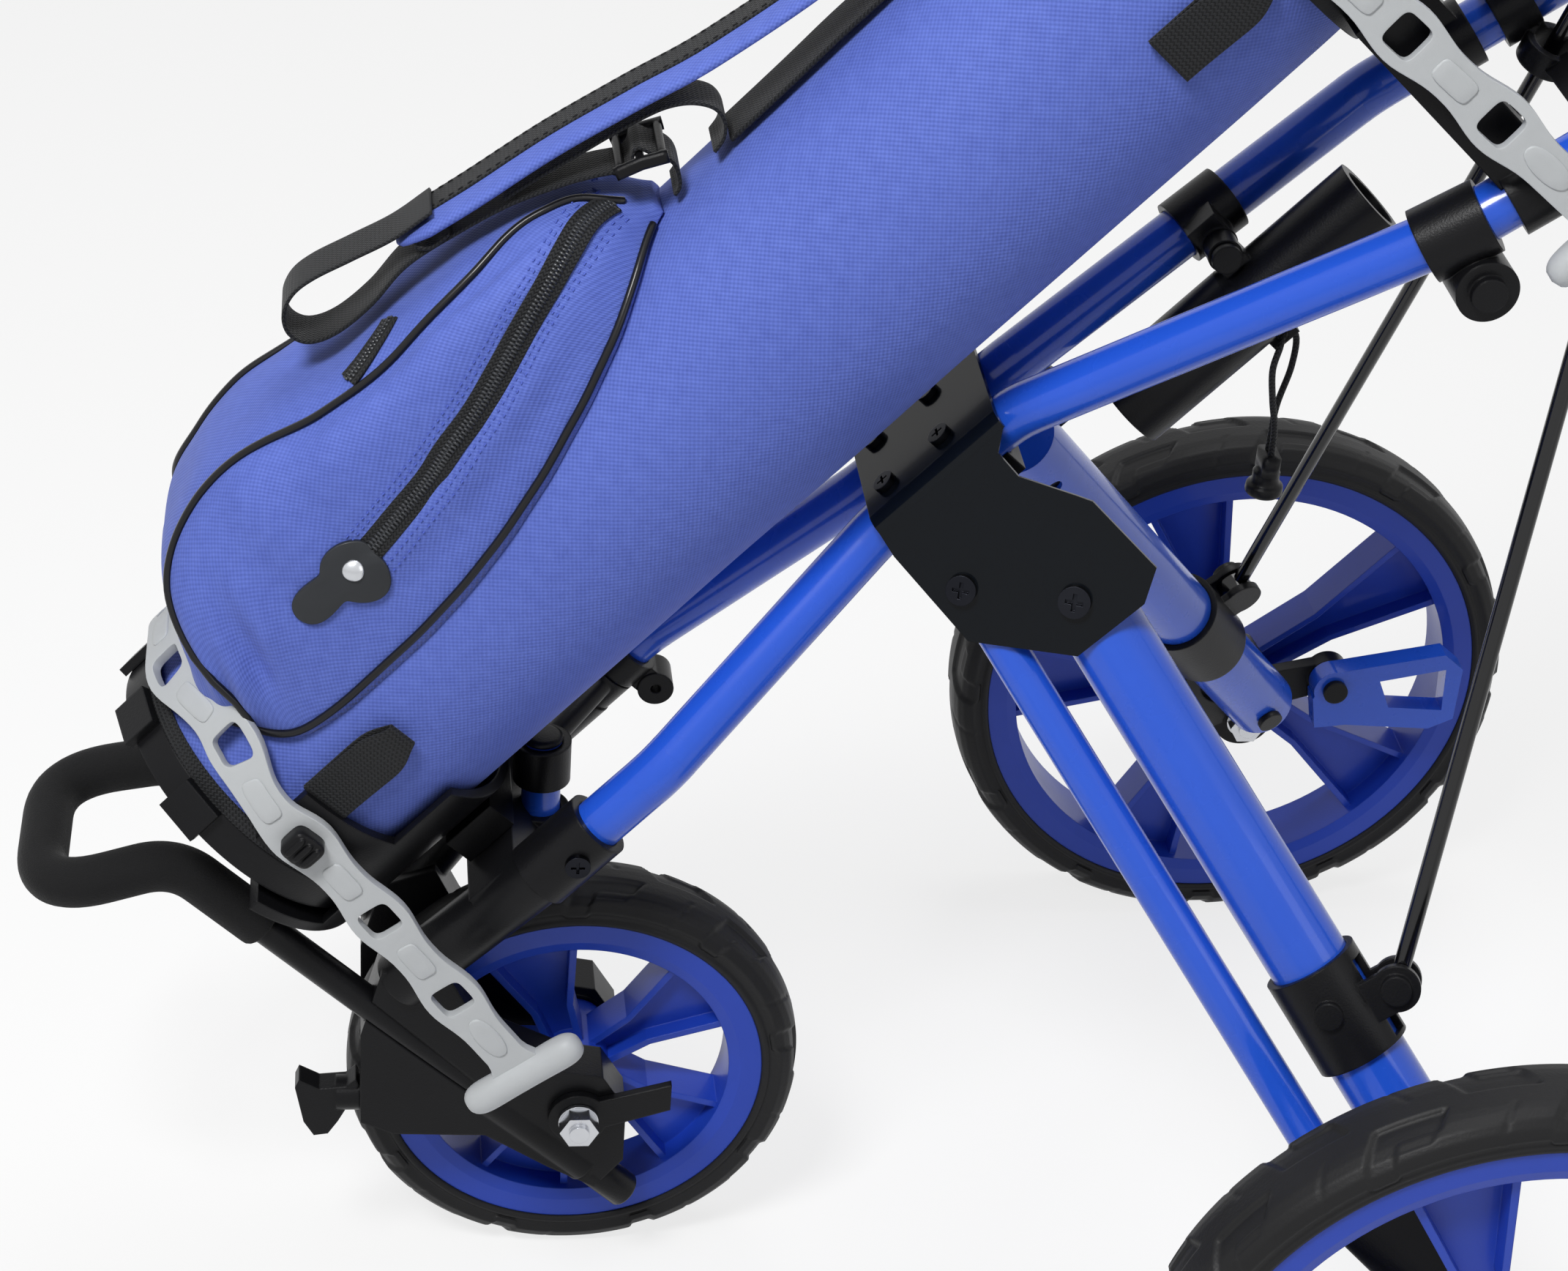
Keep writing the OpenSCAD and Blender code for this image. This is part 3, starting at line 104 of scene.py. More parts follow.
def unit(v: Array) -> Array:
    """Each vector divided by its length."""
    return v / np.maximum(np.linalg.norm(v, axis=-1, keepdims=True), 1e-12)


def smooth(points: Sequence[Sequence[float]], count: int) -> Array:
    """A Catmull-Rom curve through the points, sampled at equal steps of its length."""
    p = np.asarray(points, float)
    p = np.vstack([2 * p[0] - p[1], p, 2 * p[-1] - p[-2]])
    steps_per_span = 24
    t = np.linspace(0, 1, steps_per_span, endpoint=False)[None, :, None]
    a, b, c, e = (p[k:len(p) - 3 + k][:, None, :] for k in range(4))
    run = 0.5 * (2 * b + (c - a) * t + (2 * a - 5 * b + 4 * c - e) * t ** 2
                 + (3 * b - a - 3 * c + e) * t ** 3)
    return even(np.vstack([run.reshape(-1, p.shape[1]), p[-2]]), count)


def travelled(line: Array) -> Array:
    """The length gone along a polyline at each of its points."""
    return np.concatenate([[0.0], np.cumsum(np.linalg.norm(np.diff(line, axis=0), axis=1))])


def read(at: Array, places: Array, rows: Array) -> Array:
    """Rows read between the given places, one column at a time."""
    return np.stack([np.interp(at, places, column) for column in rows.T], axis=1)


def even(line: Array, count: int) -> Array:
    """A polyline sampled again at equal steps of its length."""
    gone = travelled(line)
    return read(np.linspace(0, gone[-1], count), gone, line)


def rounded(points: Array, bend: float, count: int) -> Array:
    """A polyline whose corners are turned by parabolas that start a bend's reach from each corner."""
    rows = [points[0]]
    t = np.linspace(0, 1, 13)[:, None]
    for before, corner, after in zip(points[:-2], points[1:-1], points[2:]):
        u, v = unit(corner - before), unit(after - corner)
        reach = bend * math.tan(math.acos(float(np.clip(u @ v, -1, 1))) / 2)
        a, b = corner - u * reach, corner + v * reach
        rows.extend((1 - t) ** 2 * a + 2 * t * (1 - t) * corner + t ** 2 * b)
    rows.append(points[-1])
    return even(np.array(rows), count)


def blend_values(at: Array, places: Sequence[float], values: Sequence[float]) -> Array:
    """Values read between rising places, softened by a bell whose spread is 7 units."""
    steps, reach, spread = 400, 24, 7.0
    fine = np.linspace(places[0], places[-1], steps)
    run = np.interp(fine, places, values)
    gap = (places[-1] - places[0]) / steps
    k = np.exp(-0.5 * (np.arange(-reach, reach + 1) * gap / spread) ** 2)
    padded = np.concatenate([np.full(reach, run[0]), run, np.full(reach, run[-1])])
    soft = np.convolve(padded, k / k.sum(), mode="valid")
    return np.interp(at, fine, soft)


def hump(x: Array, at: float, width: float) -> Array:
    """A bell: exp of minus the square of the distance over the width."""
    return np.exp(-(((x - at) / width) ** 2))


def step(x: Array, low: float, high: float) -> Array:
    """A smooth step from 0 at low to 1 at high."""
    t = np.clip((x - low) / (high - low), 0, 1)
    return t * t * (3 - 2 * t)


def window(x: Array, low: float, high: float, soft: float) -> Array:
    """1 between low and high and 0 outside, with soft edges."""
    return step(x, low - soft, low + soft) * (1 - step(x, high - soft, high + soft))


def bulge(x: Array, power: float) -> Array:
    """A number raised to a power, its sign kept; it squares off or pinches a sine."""
    return np.sign(x) * np.abs(x) ** power


def oval(count: int, rx: float, ry: float, px: float = 1.0, py: float = 1.0) -> Array:
    """A closed superellipse, first point repeated: (rx * cos^px, ry * sin^py)."""
    a = np.linspace(0, FULL_TURN, count)
    ring = np.stack([rx * bulge(np.cos(a), px), ry * bulge(np.sin(a), py)], axis=1)
    ring[-1] = ring[0]
    return ring


# --- meshes ----------------------------------------------------------------------------
class Builder:
    """Gathers grids into one mesh, merges their seams and points the faces outwards."""

    def __init__(self) -> None:
        """Starts with no points."""
        self.points: list[Array] = []
        self.faces: list[Array] = []
        self.uvs: list[Array] = []
        self.count = 0

    def grid(self, p: Array, closed: bool = True) -> "Builder":
        """Adds a grid of rows by columns by 3 as quads; a closed one is turned outwards by volume."""
        n, m = p.shape[:2]
        i = (np.arange(n - 1)[:, None] * m + np.arange(m - 1)[None, :]).ravel()
        quads = np.stack([i, i + m, i + m + 1, i + 1], axis=1)
        flat = p.reshape(-1, 3)
        if closed:
            a, b, c, e = (flat[quads[:, k]] for k in range(4))
            volume = np.einsum("ij,ij->i", a, np.cross(b, c)).sum()
            volume += np.einsum("ij,ij->i", a, np.cross(c, e)).sum()
            if volume < 0:
                quads = quads[:, ::-1]
        self.points.append(flat)
        self.uvs.append(lengths(p).reshape(-1, 2))
        self.faces.append(quads + self.count)
        self.count += len(flat)
        return self

    def make(self, name: str, merge: float = 2e-6) -> Piece:
        """Makes the mesh object with its UV map in metres; points closer than merge become one."""
        points, quads, uv = np.vstack(self.points), np.vstack(self.faces), np.vstack(self.uvs)
        # points that round to the same cell become one
        keys, index = np.unique(np.round(points / merge).astype(np.int64), axis=0, return_inverse=True)
        index = index.ravel()
        merged = np.zeros((len(keys), 3))
        merged[index] = points
        corners = index[quads]
        # corners that fell together are dropped: one leaves a triangle, more leave no face
        same = corners == np.roll(corners, -1, axis=1)
        keep = same.sum(axis=1) <= 1
        corners, same, loops = corners[keep], same[keep], quads[keep]
        used = ~same
        sizes = used.sum(axis=1)
        mesh = bpy.data.meshes.new(name)
        mesh.vertices.add(len(merged))
        mesh.vertices.foreach_set("co", merged.astype(np.float32).ravel())
        mesh.loops.add(int(sizes.sum()))
        mesh.loops.foreach_set("vertex_index", corners[used].astype(np.int32))
        mesh.polygons.add(len(sizes))
        starts = np.concatenate([[0], np.cumsum(sizes)[:-1]])
        mesh.polygons.foreach_set("loop_start", starts.astype(np.int32))
        mesh.polygons.foreach_set("use_smooth", np.full(len(sizes), True))
        layer = mesh.uv_layers.new(name="metres")
        layer.uv.foreach_set("vector", uv[loops[used]].astype(np.float32).ravel())
        mesh.update(calc_edges=True)
        mesh.validate(clean_customdata=False)
        obj = bpy.data.objects.new(name, mesh)
        bpy.context.scene.collection.objects.link(obj)
        return obj


def lengths(p: Array) -> Array:
    """Texture places of a grid: mean length down its rows, length along each from its middle."""
    rows = np.linalg.norm(np.diff(p, axis=0), axis=2).mean(axis=1)
    u = np.concatenate([[0.0], np.cumsum(rows)])[:, None] * np.ones((1, p.shape[1]))
    cols = np.cumsum(np.linalg.norm(np.diff(p, axis=1), axis=2), axis=1)
    v = np.concatenate([np.zeros((p.shape[0], 1)), cols], axis=1)
    return np.stack([u, v - v[:, -1:] / 2], axis=-1)


def turned_frames(line: Array, up: Array) -> tuple[Array, Array]:
    """Two directions across a line: the given one squared to the line, and the one beside it."""
    along = unit(np.gradient(line, axis=0))
    up = np.broadcast_to(up, line.shape)
    out = unit(up - along * np.sum(up * along, axis=1, keepdims=True))
    return out, np.cross(along, out)


def sweep(line: Array, out: Array, side: Array, ring: Array, size: Array | None = None) -> Array:
    """A closed ring carried along a line: point = line + size * (ring x * side + ring y * out)."""
    k = np.ones(len(line)) if size is None else size
    body = (line[:, None, :] + (k[:, None] * ring[None, :, 0])[..., None] * side[:, None, :]
            + (k[:, None] * ring[None, :, 1])[..., None] * out[:, None, :])
    return capped(body)


def capped(grid: Array) -> Array:
    """A grid whose two end rows are closed to their middles."""
    first, last = (np.repeat(row.mean(axis=0)[None, None], grid.shape[1], axis=1)
                   for row in (grid[0], grid[-1]))
    return np.concatenate([first, grid, last], axis=0)


def strip(line: Array, up: Array, width: float, thick: float, corner: float) -> Array:
    """A flat band along a line, its top towards up; its section is given in millimetres."""
    return sweep(line, *turned_frames(line, up), round_box(width, thick, corner) * MM)


def tube(line: Array, radius: float, sides: int = 16, soft: float = 0.6) -> Array:
    """A round tube along a line whose ends are rounded over by soft times its radius."""
    seldom_along = np.array([0.13, 0.9, 0.31])
    out, side = turned_frames(line, seldom_along)
    gone = travelled(line)
    over = radius * soft
    q = np.linspace(0, 1, 6)[:-1] ** 2 * radius * soft
    middle = gone[(gone > over) & (gone < gone[-1] - over)]
    at = np.unique(np.concatenate([q, middle, gone[-1] - q]))
    near = np.clip(np.minimum(at, gone[-1] - at) / max(over, 1e-9), 0, 1)
    size = 1 - soft * (1 - np.sqrt(np.clip(1 - (1 - near) ** 2, 0, 1)))
    return sweep(read(at, gone, line), unit(read(at, gone, out)), unit(read(at, gone, side)),
                 oval(sides + 1, radius, radius), size)


def round_box(width: float, height: float, corner: float, steps: int = 4) -> Array:
    """A closed ring in the shape of a rectangle with round corners, first point repeated."""
    a = np.linspace(0, math.pi / 2, steps + 1)
    cx, cy = width / 2 - corner, height / 2 - corner
    parts = []
    for k, (x, y) in enumerate(((cx, cy), (-cx, cy), (-cx, -cy), (cx, -cy))):
        turn = a + k * math.pi / 2
        parts.append(np.stack([x + corner * np.cos(turn), y + corner * np.sin(turn)], axis=1))
    ring = np.vstack(parts)
    side_steps = 5
    points = []
    for here, after in zip(ring, np.roll(ring, -1, axis=0)):
        far = np.linalg.norm(after - here) > corner
        shares = np.linspace(0, 1, side_steps, endpoint=False) if far else [0.0]
        points.extend(here + (after - here) * share for share in shares)
    return np.vstack([points, points[0]])


def lathe(profile: Array, centre: Array, axis: Array, start: Array, sides: int,
          change: Callable[[Array, Array], Array] | None = None) -> Array:
    """A profile of radius and height turned about an axis: centre + height * axis + radius * spoke.

    The change adds to the radius, from the angle and the profile's row number.
    """
    a = np.linspace(0, FULL_TURN, sides + 1)[:, None]
    radius, height = profile[None, :, 0], profile[None, :, 1]
    if change is not None:
        radius = radius + change(a, np.arange(profile.shape[0])[None, :])
    other = np.cross(axis, start)
    spoke = np.cos(a)[..., None] * start + np.sin(a)[..., None] * other
    grid = centre + height[..., None] * axis + radius[..., None] * spoke
    grid[-1] = grid[0]
    return grid


Placing = Callable[[Array, Array, Array], Array]


def stacked(outline: Array, rows: Sequence[tuple[float, float]], place: Placing) -> Array:
    """An outline's rings of (share of its size, height), put on a surface by their (u, v, height)."""
    middle = outline[:-1].mean(axis=0)
    k, h = np.array(rows).T[:, :, None]
    flat = middle + k[..., None] * (outline - middle)
    return place(flat[..., 0], flat[..., 1], h * np.ones((1, len(outline))))


def plate(outline: Array, low: float, high: float, edge: float, place: Placing) -> Array:
    """A flat-topped plate from height low to high whose top edge is rounded over."""
    reach = np.linalg.norm(outline - outline[:-1].mean(axis=0), axis=1).mean()
    rows = [(0.0, low), (1.0, low), (1.0, high - edge), (1 - 0.3 * edge / reach, high - 0.3 * edge),
            (1 - edge / reach, high), (0.5, high), (0.0, high)]
    return stacked(outline, rows, place)


# --- finishes --------------------------------------------------------------------------
class Surface(Enum):
    """How a finish catches light at close range."""

    PAINT = "paint"
    MOULDED = "moulded"
    METAL = "metal"
    CLOTH = "cloth"
    WEBBING = "webbing"
    RUBBER = "rubber"
    FOAM = "foam"
    LEATHER = "leather"


def linear(rgb: tuple[int, int, int]) -> tuple[float, float, float, float]:
    """A display colour of 0 to 255 as linear light, with full alpha."""
    out = [c / 255 / 12.92 if c <= 10 else ((c / 255 + 0.055) / 1.055) ** 2.4 for c in rgb]
    return (out[0], out[1], out[2], 1.0)


class Tree:
    """Adds and joins the nodes of one tree."""

    def __init__(self, tree: bpy.types.NodeTree) -> None:
        """Works on the given tree."""
        self.tree = tree

    def add(self, kind: str, inputs: dict | None = None, **settings: object) -> bpy.types.Node:
        """A new node with its settings, whose inputs are set or joined by name or number."""
        node = self.tree.nodes.new(kind)
        for key, value in settings.items():
            setattr(node, key, value)
        for key, value in (inputs or {}).items():
            if isinstance(value, Socket):
                self.tree.links.new(value, node.inputs[key])
            else:
                node.inputs[key].default_value = value
        return node

    def math(self, operation: str, a: object, b: object = 0.0, c: object = 0.0) -> Socket:
        """The result of a Math node on up to three values or sockets."""
        return self.add("ShaderNodeMath", {0: a, 1: b, 2: c}, operation=operation).outputs[0]


    def sine(self, value: object, shift: object = 0.0) -> Socket:
        """The sine of pi times the value, plus the shift."""
        return self.math("SINE", self.math("MULTIPLY_ADD", value, math.pi, shift))

    def noise(self, vector: object, scale: object, detail: float, rough: float = 0.5) -> Socket:
        """The value of a noise texture."""
        return self.add("ShaderNodeTexNoise", {"Vector": vector, "Scale": scale, "Detail": detail,
                                               "Roughness": rough}).outputs[0]

    def seen_white(self, share: float = 1.0) -> Socket:
        """The share for rays that come straight or mirrored from the camera, and 0 for others."""
        rays = self.add("ShaderNodeLightPath").outputs
        seen = self.math("MAXIMUM", rays["Is Camera Ray"], rays["Is Glossy Ray"])
        return self.math("MULTIPLY", seen, share)


class Group(Tree):
    """A shader group that turns a place, a colour and a shade into a colour and a height."""

    def __init__(self, name: str, ins: dict[str, float], outs: Sequence[str] = ()) -> None:
        """Makes the sockets: its own number inputs and outputs come after the shared ones."""
        super().__init__(bpy.data.node_groups.new(name, "ShaderNodeTree"))
        sockets = [("Vector", "Vector", "INPUT"), ("Colour", "Color", "INPUT"),
                   ("Shade", "Color", "INPUT"), ("Colour", "Color", "OUTPUT"),
                   ("Height", "Float", "OUTPUT")]
        sockets += [(label, "Float", "INPUT") for label in ins]
        sockets += [(label, "Float", "OUTPUT") for label in outs]
        for label, kind, way in sockets:
            socket = self.tree.interface.new_socket(label, in_out=way,
                                                    socket_type="NodeSocket" + kind)
            if way == "INPUT" and label in ins:
                socket.default_value = ins[label]
        self.ins = self.add("NodeGroupInput").outputs
        self.outs = self.add("NodeGroupOutput").inputs

    def close(self, share: Socket, height: Socket, low: str = "Colour",
              high: str = "Shade") -> bpy.types.NodeTree:
        """Gives out the height and the colour that goes from low to high with the share."""
        mix = self.add("ShaderNodeMix", {0: share, 6: self.ins[low], 7: self.ins[high]},
                       data_type="RGBA")
        self.tree.links.new(mix.outputs[2], self.outs["Colour"])
        self.tree.links.new(height, self.outs["Height"])
        return self.tree


class Effects:
    """The shader groups that several finishes share, each built once."""

    def __init__(self) -> None:
        """Builds the weave, rib and grain groups."""
        self.weave = self._weave()
        self.ribs = self._ribs()
        self.grain = self._grain()

    @staticmethod
    def _weave() -> bpy.types.NodeTree:
        """Canvas weave: height = half plus half of sine times sine, with slubs; painted shade darkens the
        colour in the weave's hollows, with random flecks and clouds of tone.
        """
        g = Group("canvas_weave", {"Pitch": 0.0012})
        parts = g.add("ShaderNodeSeparateXYZ", {0: g.ins["Vector"]})
        slub = g.noise(g.ins["Vector"], 160.0, 2.0)  # thick and thin threads, about 6 mm long
        wander = g.math("MULTIPLY", slub, 0.9)
        su, sv = (g.sine(g.math("DIVIDE", parts.outputs[k], g.ins["Pitch"]), wander) for k in (0, 1))
        egg = g.math("MULTIPLY_ADD", g.math("MULTIPLY", su, sv), 0.5, 0.5)
        broad = g.noise(g.ins["Vector"], 14.0, 3.0)  # faint clouds, about 70 mm across
        fleck = g.math("MULTIPLY_ADD", slub, 0.35, -0.1)
        # painted shade: the weave's hollows darken the colour; slub flecks and broad clouds add random
        # tone
        dark = g.math("MULTIPLY_ADD", g.math("SUBTRACT", 1.0, egg), 0.42, fleck)
        dark = g.math("MULTIPLY_ADD", broad, 0.22, g.math("SUBTRACT", dark, 0.06))
        return g.close(dark, egg)

    @staticmethod
    def _ribs() -> bpy.types.NodeTree:
        """Ribs in zigzag rows across a webbing: height = the size of a sine along it; painted shade
        darkens the grooves between them.
        """
        g = Group("webbing_ribs", {"Pitch": 0.002})
        row_width = 0.0021
        parts = g.add("ShaderNodeSeparateXYZ", {0: g.ins["Vector"]})
        v = g.math("DIVIDE", parts.outputs[1], row_width)
        zig = g.math("MULTIPLY", g.math("ABSOLUTE", g.sine(v)), 0.5)
        u = g.math("ADD", g.math("DIVIDE", parts.outputs[0], g.ins["Pitch"]), zig)
        rib = g.math("ABSOLUTE", g.sine(u))
        # painted shade: the grooves between the ribs take the darker shade colour
        return g.close(rib, rib, "Shade", "Colour")

    @staticmethod
    def _grain() -> bpy.types.NodeTree:
        """Fine grain and a broad, faint change of tone that both come from noise on the piece."""
        g = Group("moulded_grain", {"Scale": 900.0, "Tone": 0.3}, ["Wear"])
        fine = g.noise(g.ins["Vector"], g.ins["Scale"], 3.0)
        broad = g.noise(g.ins["Vector"], 26.0, 4.0, 0.6)  # worn places, about 40 mm across
        worn = g.math("MULTIPLY", g.math("SUBTRACT", broad, 0.35), 1.6)
        g.tree.links.new(worn, g.outs["Wear"])
        return g.close(g.math("MULTIPLY", worn, g.ins["Tone"]), fine)


@dataclass(frozen=True)
class Finish:
    """One finish of the real object.

    Args:
        name: plain name of the finish.
        rgb: display colour, 0 to 255.
        shade: painted shade in woven hollows and ribbed grooves; elsewhere, its worn places' colour.
        surface: how it catches light.
        rough: roughness.
        coat: strength of a clear layer over it.
        scale: grain scale, or the pitch of a weave or rib in metres.
        bump: depth of its grain, in metres.
        edge: radius over which sharp edges are softened, in metres.
        gloss: specular level.
    """

    name: str
    rgb: tuple[int, int, int]
    shade: tuple[int, int, int]
    surface: Surface
    rough: float = 0.5
    coat: float = 0.0
    scale: float = 900.0
    bump: float = 0.0001
    edge: float = 0.0
    gloss: float = 0.16

    def build(self, effects: Effects) -> bpy.types.Material:
        """Makes the material from the shared effects."""
        material = bpy.data.materials.new(self.name)
        material.use_nodes = True
        material.node_tree.nodes.clear()
        t = Tree(material.node_tree)
        where = t.add("ShaderNodeTexCoord")
        cloth = self.surface in (Surface.CLOTH, Surface.WEBBING)
        vector = where.outputs["UV" if cloth else "Object"]
        woven = {Surface.CLOTH: effects.weave, Surface.WEBBING: effects.ribs}
        node = t.add("ShaderNodeGroup", node_tree=woven.get(self.surface, effects.grain))
        t.tree.links.new(vector, node.inputs["Vector"])
        node.inputs["Pitch" if cloth else "Scale"].default_value = self.scale
        node.inputs["Colour"].default_value = linear(self.rgb)
        node.inputs["Shade"].default_value = linear(self.shade)
        bump = t.add("ShaderNodeBump", {"Height": node.outputs["Height"], "Distance": self.bump,
                                        "Strength": 1.0})
        if self.edge:
            soft = t.add("ShaderNodeBevel", {"Radius": self.edge}, samples=4)
            t.tree.links.new(soft.outputs[0], bump.inputs["Normal"])
        shader = t.add("ShaderNodeBsdfPrincipled",
                       {"Base Color": node.outputs["Colour"], "Normal": bump.outputs[0]})
        shader.inputs["Roughness"].default_value = self.rough
        if not cloth:
            rough = t.math("MULTIPLY_ADD", node.outputs["Wear"], 0.10, self.rough - 0.03)
            t.tree.links.new(rough, shader.inputs["Roughness"])
        if self.surface is Surface.METAL:
            shader.inputs["Metallic"].default_value = 1.0
        else:
            shader.inputs["Specular IOR Level"].default_value = self.gloss
        if self.coat:
            shader.inputs["Coat Weight"].default_value = self.coat
            shader.inputs["Coat Roughness"].default_value = 0.08
        if cloth or self.surface is Surface.FOAM:
            shader.inputs["Sheen Weight"].default_value = 0.08
            shader.inputs["Sheen Roughness"].default_value = 0.4
        t.add("ShaderNodeOutputMaterial", {"Surface": shader.outputs[0]})
        return material


FINISHES = (
    Finish("frame_paint", (34, 86, 206), (28, 76, 190),
           Surface.PAINT, 0.28, 0.4, 700, 0.000005, 0.0004, 0.28),
    Finish("wheel_plastic", (30, 66, 180), (24, 56, 160),
           Surface.MOULDED, 0.38, 0.1, 900, 0.00005, 0.0010, 0.3),
    # its shade colour is painted shade in the weave's hollows
    Finish("bag_canvas", (102, 122, 206), (56, 70, 148), Surface.CLOTH, 0.62, 0.0, 0.0013, 0.00022),
    Finish("casting_black", (17, 17, 19), (26, 27, 29),
           Surface.MOULDED, 0.34, 0.0, 1100, 0.00010, 0.0014, 0.15),
    Finish("bracket_gloss", (8, 12, 17), (12, 16, 23),
           Surface.PAINT, 0.18, 0.14, 600, 0.00002, 0.0005, 0.08),
    Finish("rod_gloss", (10, 10, 12), (16, 16, 18), Surface.PAINT, 0.22, 0.6, 600, 0.00002),
    Finish("screw_black", (34, 35, 40), (58, 60, 66), Surface.METAL, 0.34, 0.0, 900, 0.00003, 0.0005),
    Finish("zinc_steel", (206, 208, 212), (150, 152, 158),
           Surface.METAL, 0.27, 0.0, 700, 0.00004, 0.0005),
    # its shade colour is painted shade in the grooves between the ribs
    Finish("webbing_black", (38, 39, 41), (13, 13, 14), Surface.WEBBING, 0.60, 0.0, 0.0021, 0.00035),
    Finish("zip_black", (52, 54, 58), (22, 22, 24),
           Surface.MOULDED, 0.30, 0.0, 1400, 0.00003, 0.0, 0.4),
    Finish("piping_black", (20, 20, 23), (34, 34, 38), Surface.MOULDED, 0.30, 0.2, 900, 0.00003),
    Finish("tyre_rubber", (30, 30, 31), (40, 40, 41), Surface.RUBBER, 0.46, 0.0, 700, 0.00012),
    Finish("foam_black", (24, 24, 25), (34, 35, 35), Surface.FOAM, 0.86, 0.0, 1600, 0.00035),
    Finish("strap_rubber", (184, 187, 189), (166, 169, 171),
           Surface.RUBBER, 0.46, 0.0, 1200, 0.00005, 0.0, 0.3),
    Finish("patch_leather", (44, 46, 49), (64, 66, 70), Surface.LEATHER, 0.42, 0.1, 420, 0.00016),
    Finish("thread_blue", (84, 102, 188), (70, 86, 168), Surface.MOULDED, 0.7, 0.0, 2000, 0.00005),
    Finish("thread_black", (26, 26, 28), (20, 20, 22), Surface.MOULDED, 0.7, 0.0, 2000, 0.00005),
    # its shade colour is painted shade in the weave's hollows
    Finish("lining_dark", (38, 42, 66), (26, 28, 44), Surface.CLOTH, 0.8, 0.0, 0.0013, 0.0001),
)


class Wardrobe:
    """Builds every finish once and puts it on pieces."""

    def __init__(self) -> None:
        """Builds the shared effects and the finishes."""
        effects = Effects()
        self.materials = {f.name: f.build(effects) for f in FINISHES}

    def dress(self, obj: Piece, finish: str) -> Piece:
        """Gives a piece its finish in place of whatever it had."""
        obj.data.materials.clear()
        obj.data.materials.append(self.materials[finish])
        return obj


CAD_FINISHES = {
    "frame_paint": ("lower_tube_left", "lower_tube_right", "upper_tube_left", "upper_tube_right",
                    "centre_post", "left_leg", "right_leg", "left_strut", "right_strut",
                    "handle_tube", "brake_lever"),
    "wheel_plastic": ("front_rim", "left_rim", "right_rim"),
    "bracket_gloss": ("centre_bracket",),
    "rod_gloss": ("left_rod", "right_rod"),
    "screw_black": ("frame_screws",),
    "zinc_steel": ("front_axle", "left_axle", "right_axle"),
    "casting_black": ("bracket_spacer", "front_fork", "post_collar", "tube_clip", "bag_cradle",
                      "clamp_left", "clamp_right", "upper_cradle", "rod_guide", "handle_hubs",
                      "bag_base", "tracking_lever", "wing_knob", "umbrella_holder",
                      "left_leg_clip", "right_leg_clip", "left_wheel_bracket",
                      "right_wheel_bracket", "front_loop"),
}


# --- the bag ---------------------------------------------------------------------------
LOWER_PEG, UPPER_PEG = -122.0, 474.0  # where the rubber straps' pegs stand along the bag


@dataclass
class Maker:
    """Makes a group of pieces in the bag's frame and dresses them from the wardrobe."""

    frame: BagFrame
    wardrobe: Wardrobe

    def dress(self, obj: Piece, finish: str) -> Piece:
        """Gives a piece its finish."""
        return self.wardrobe.dress(obj, finish)


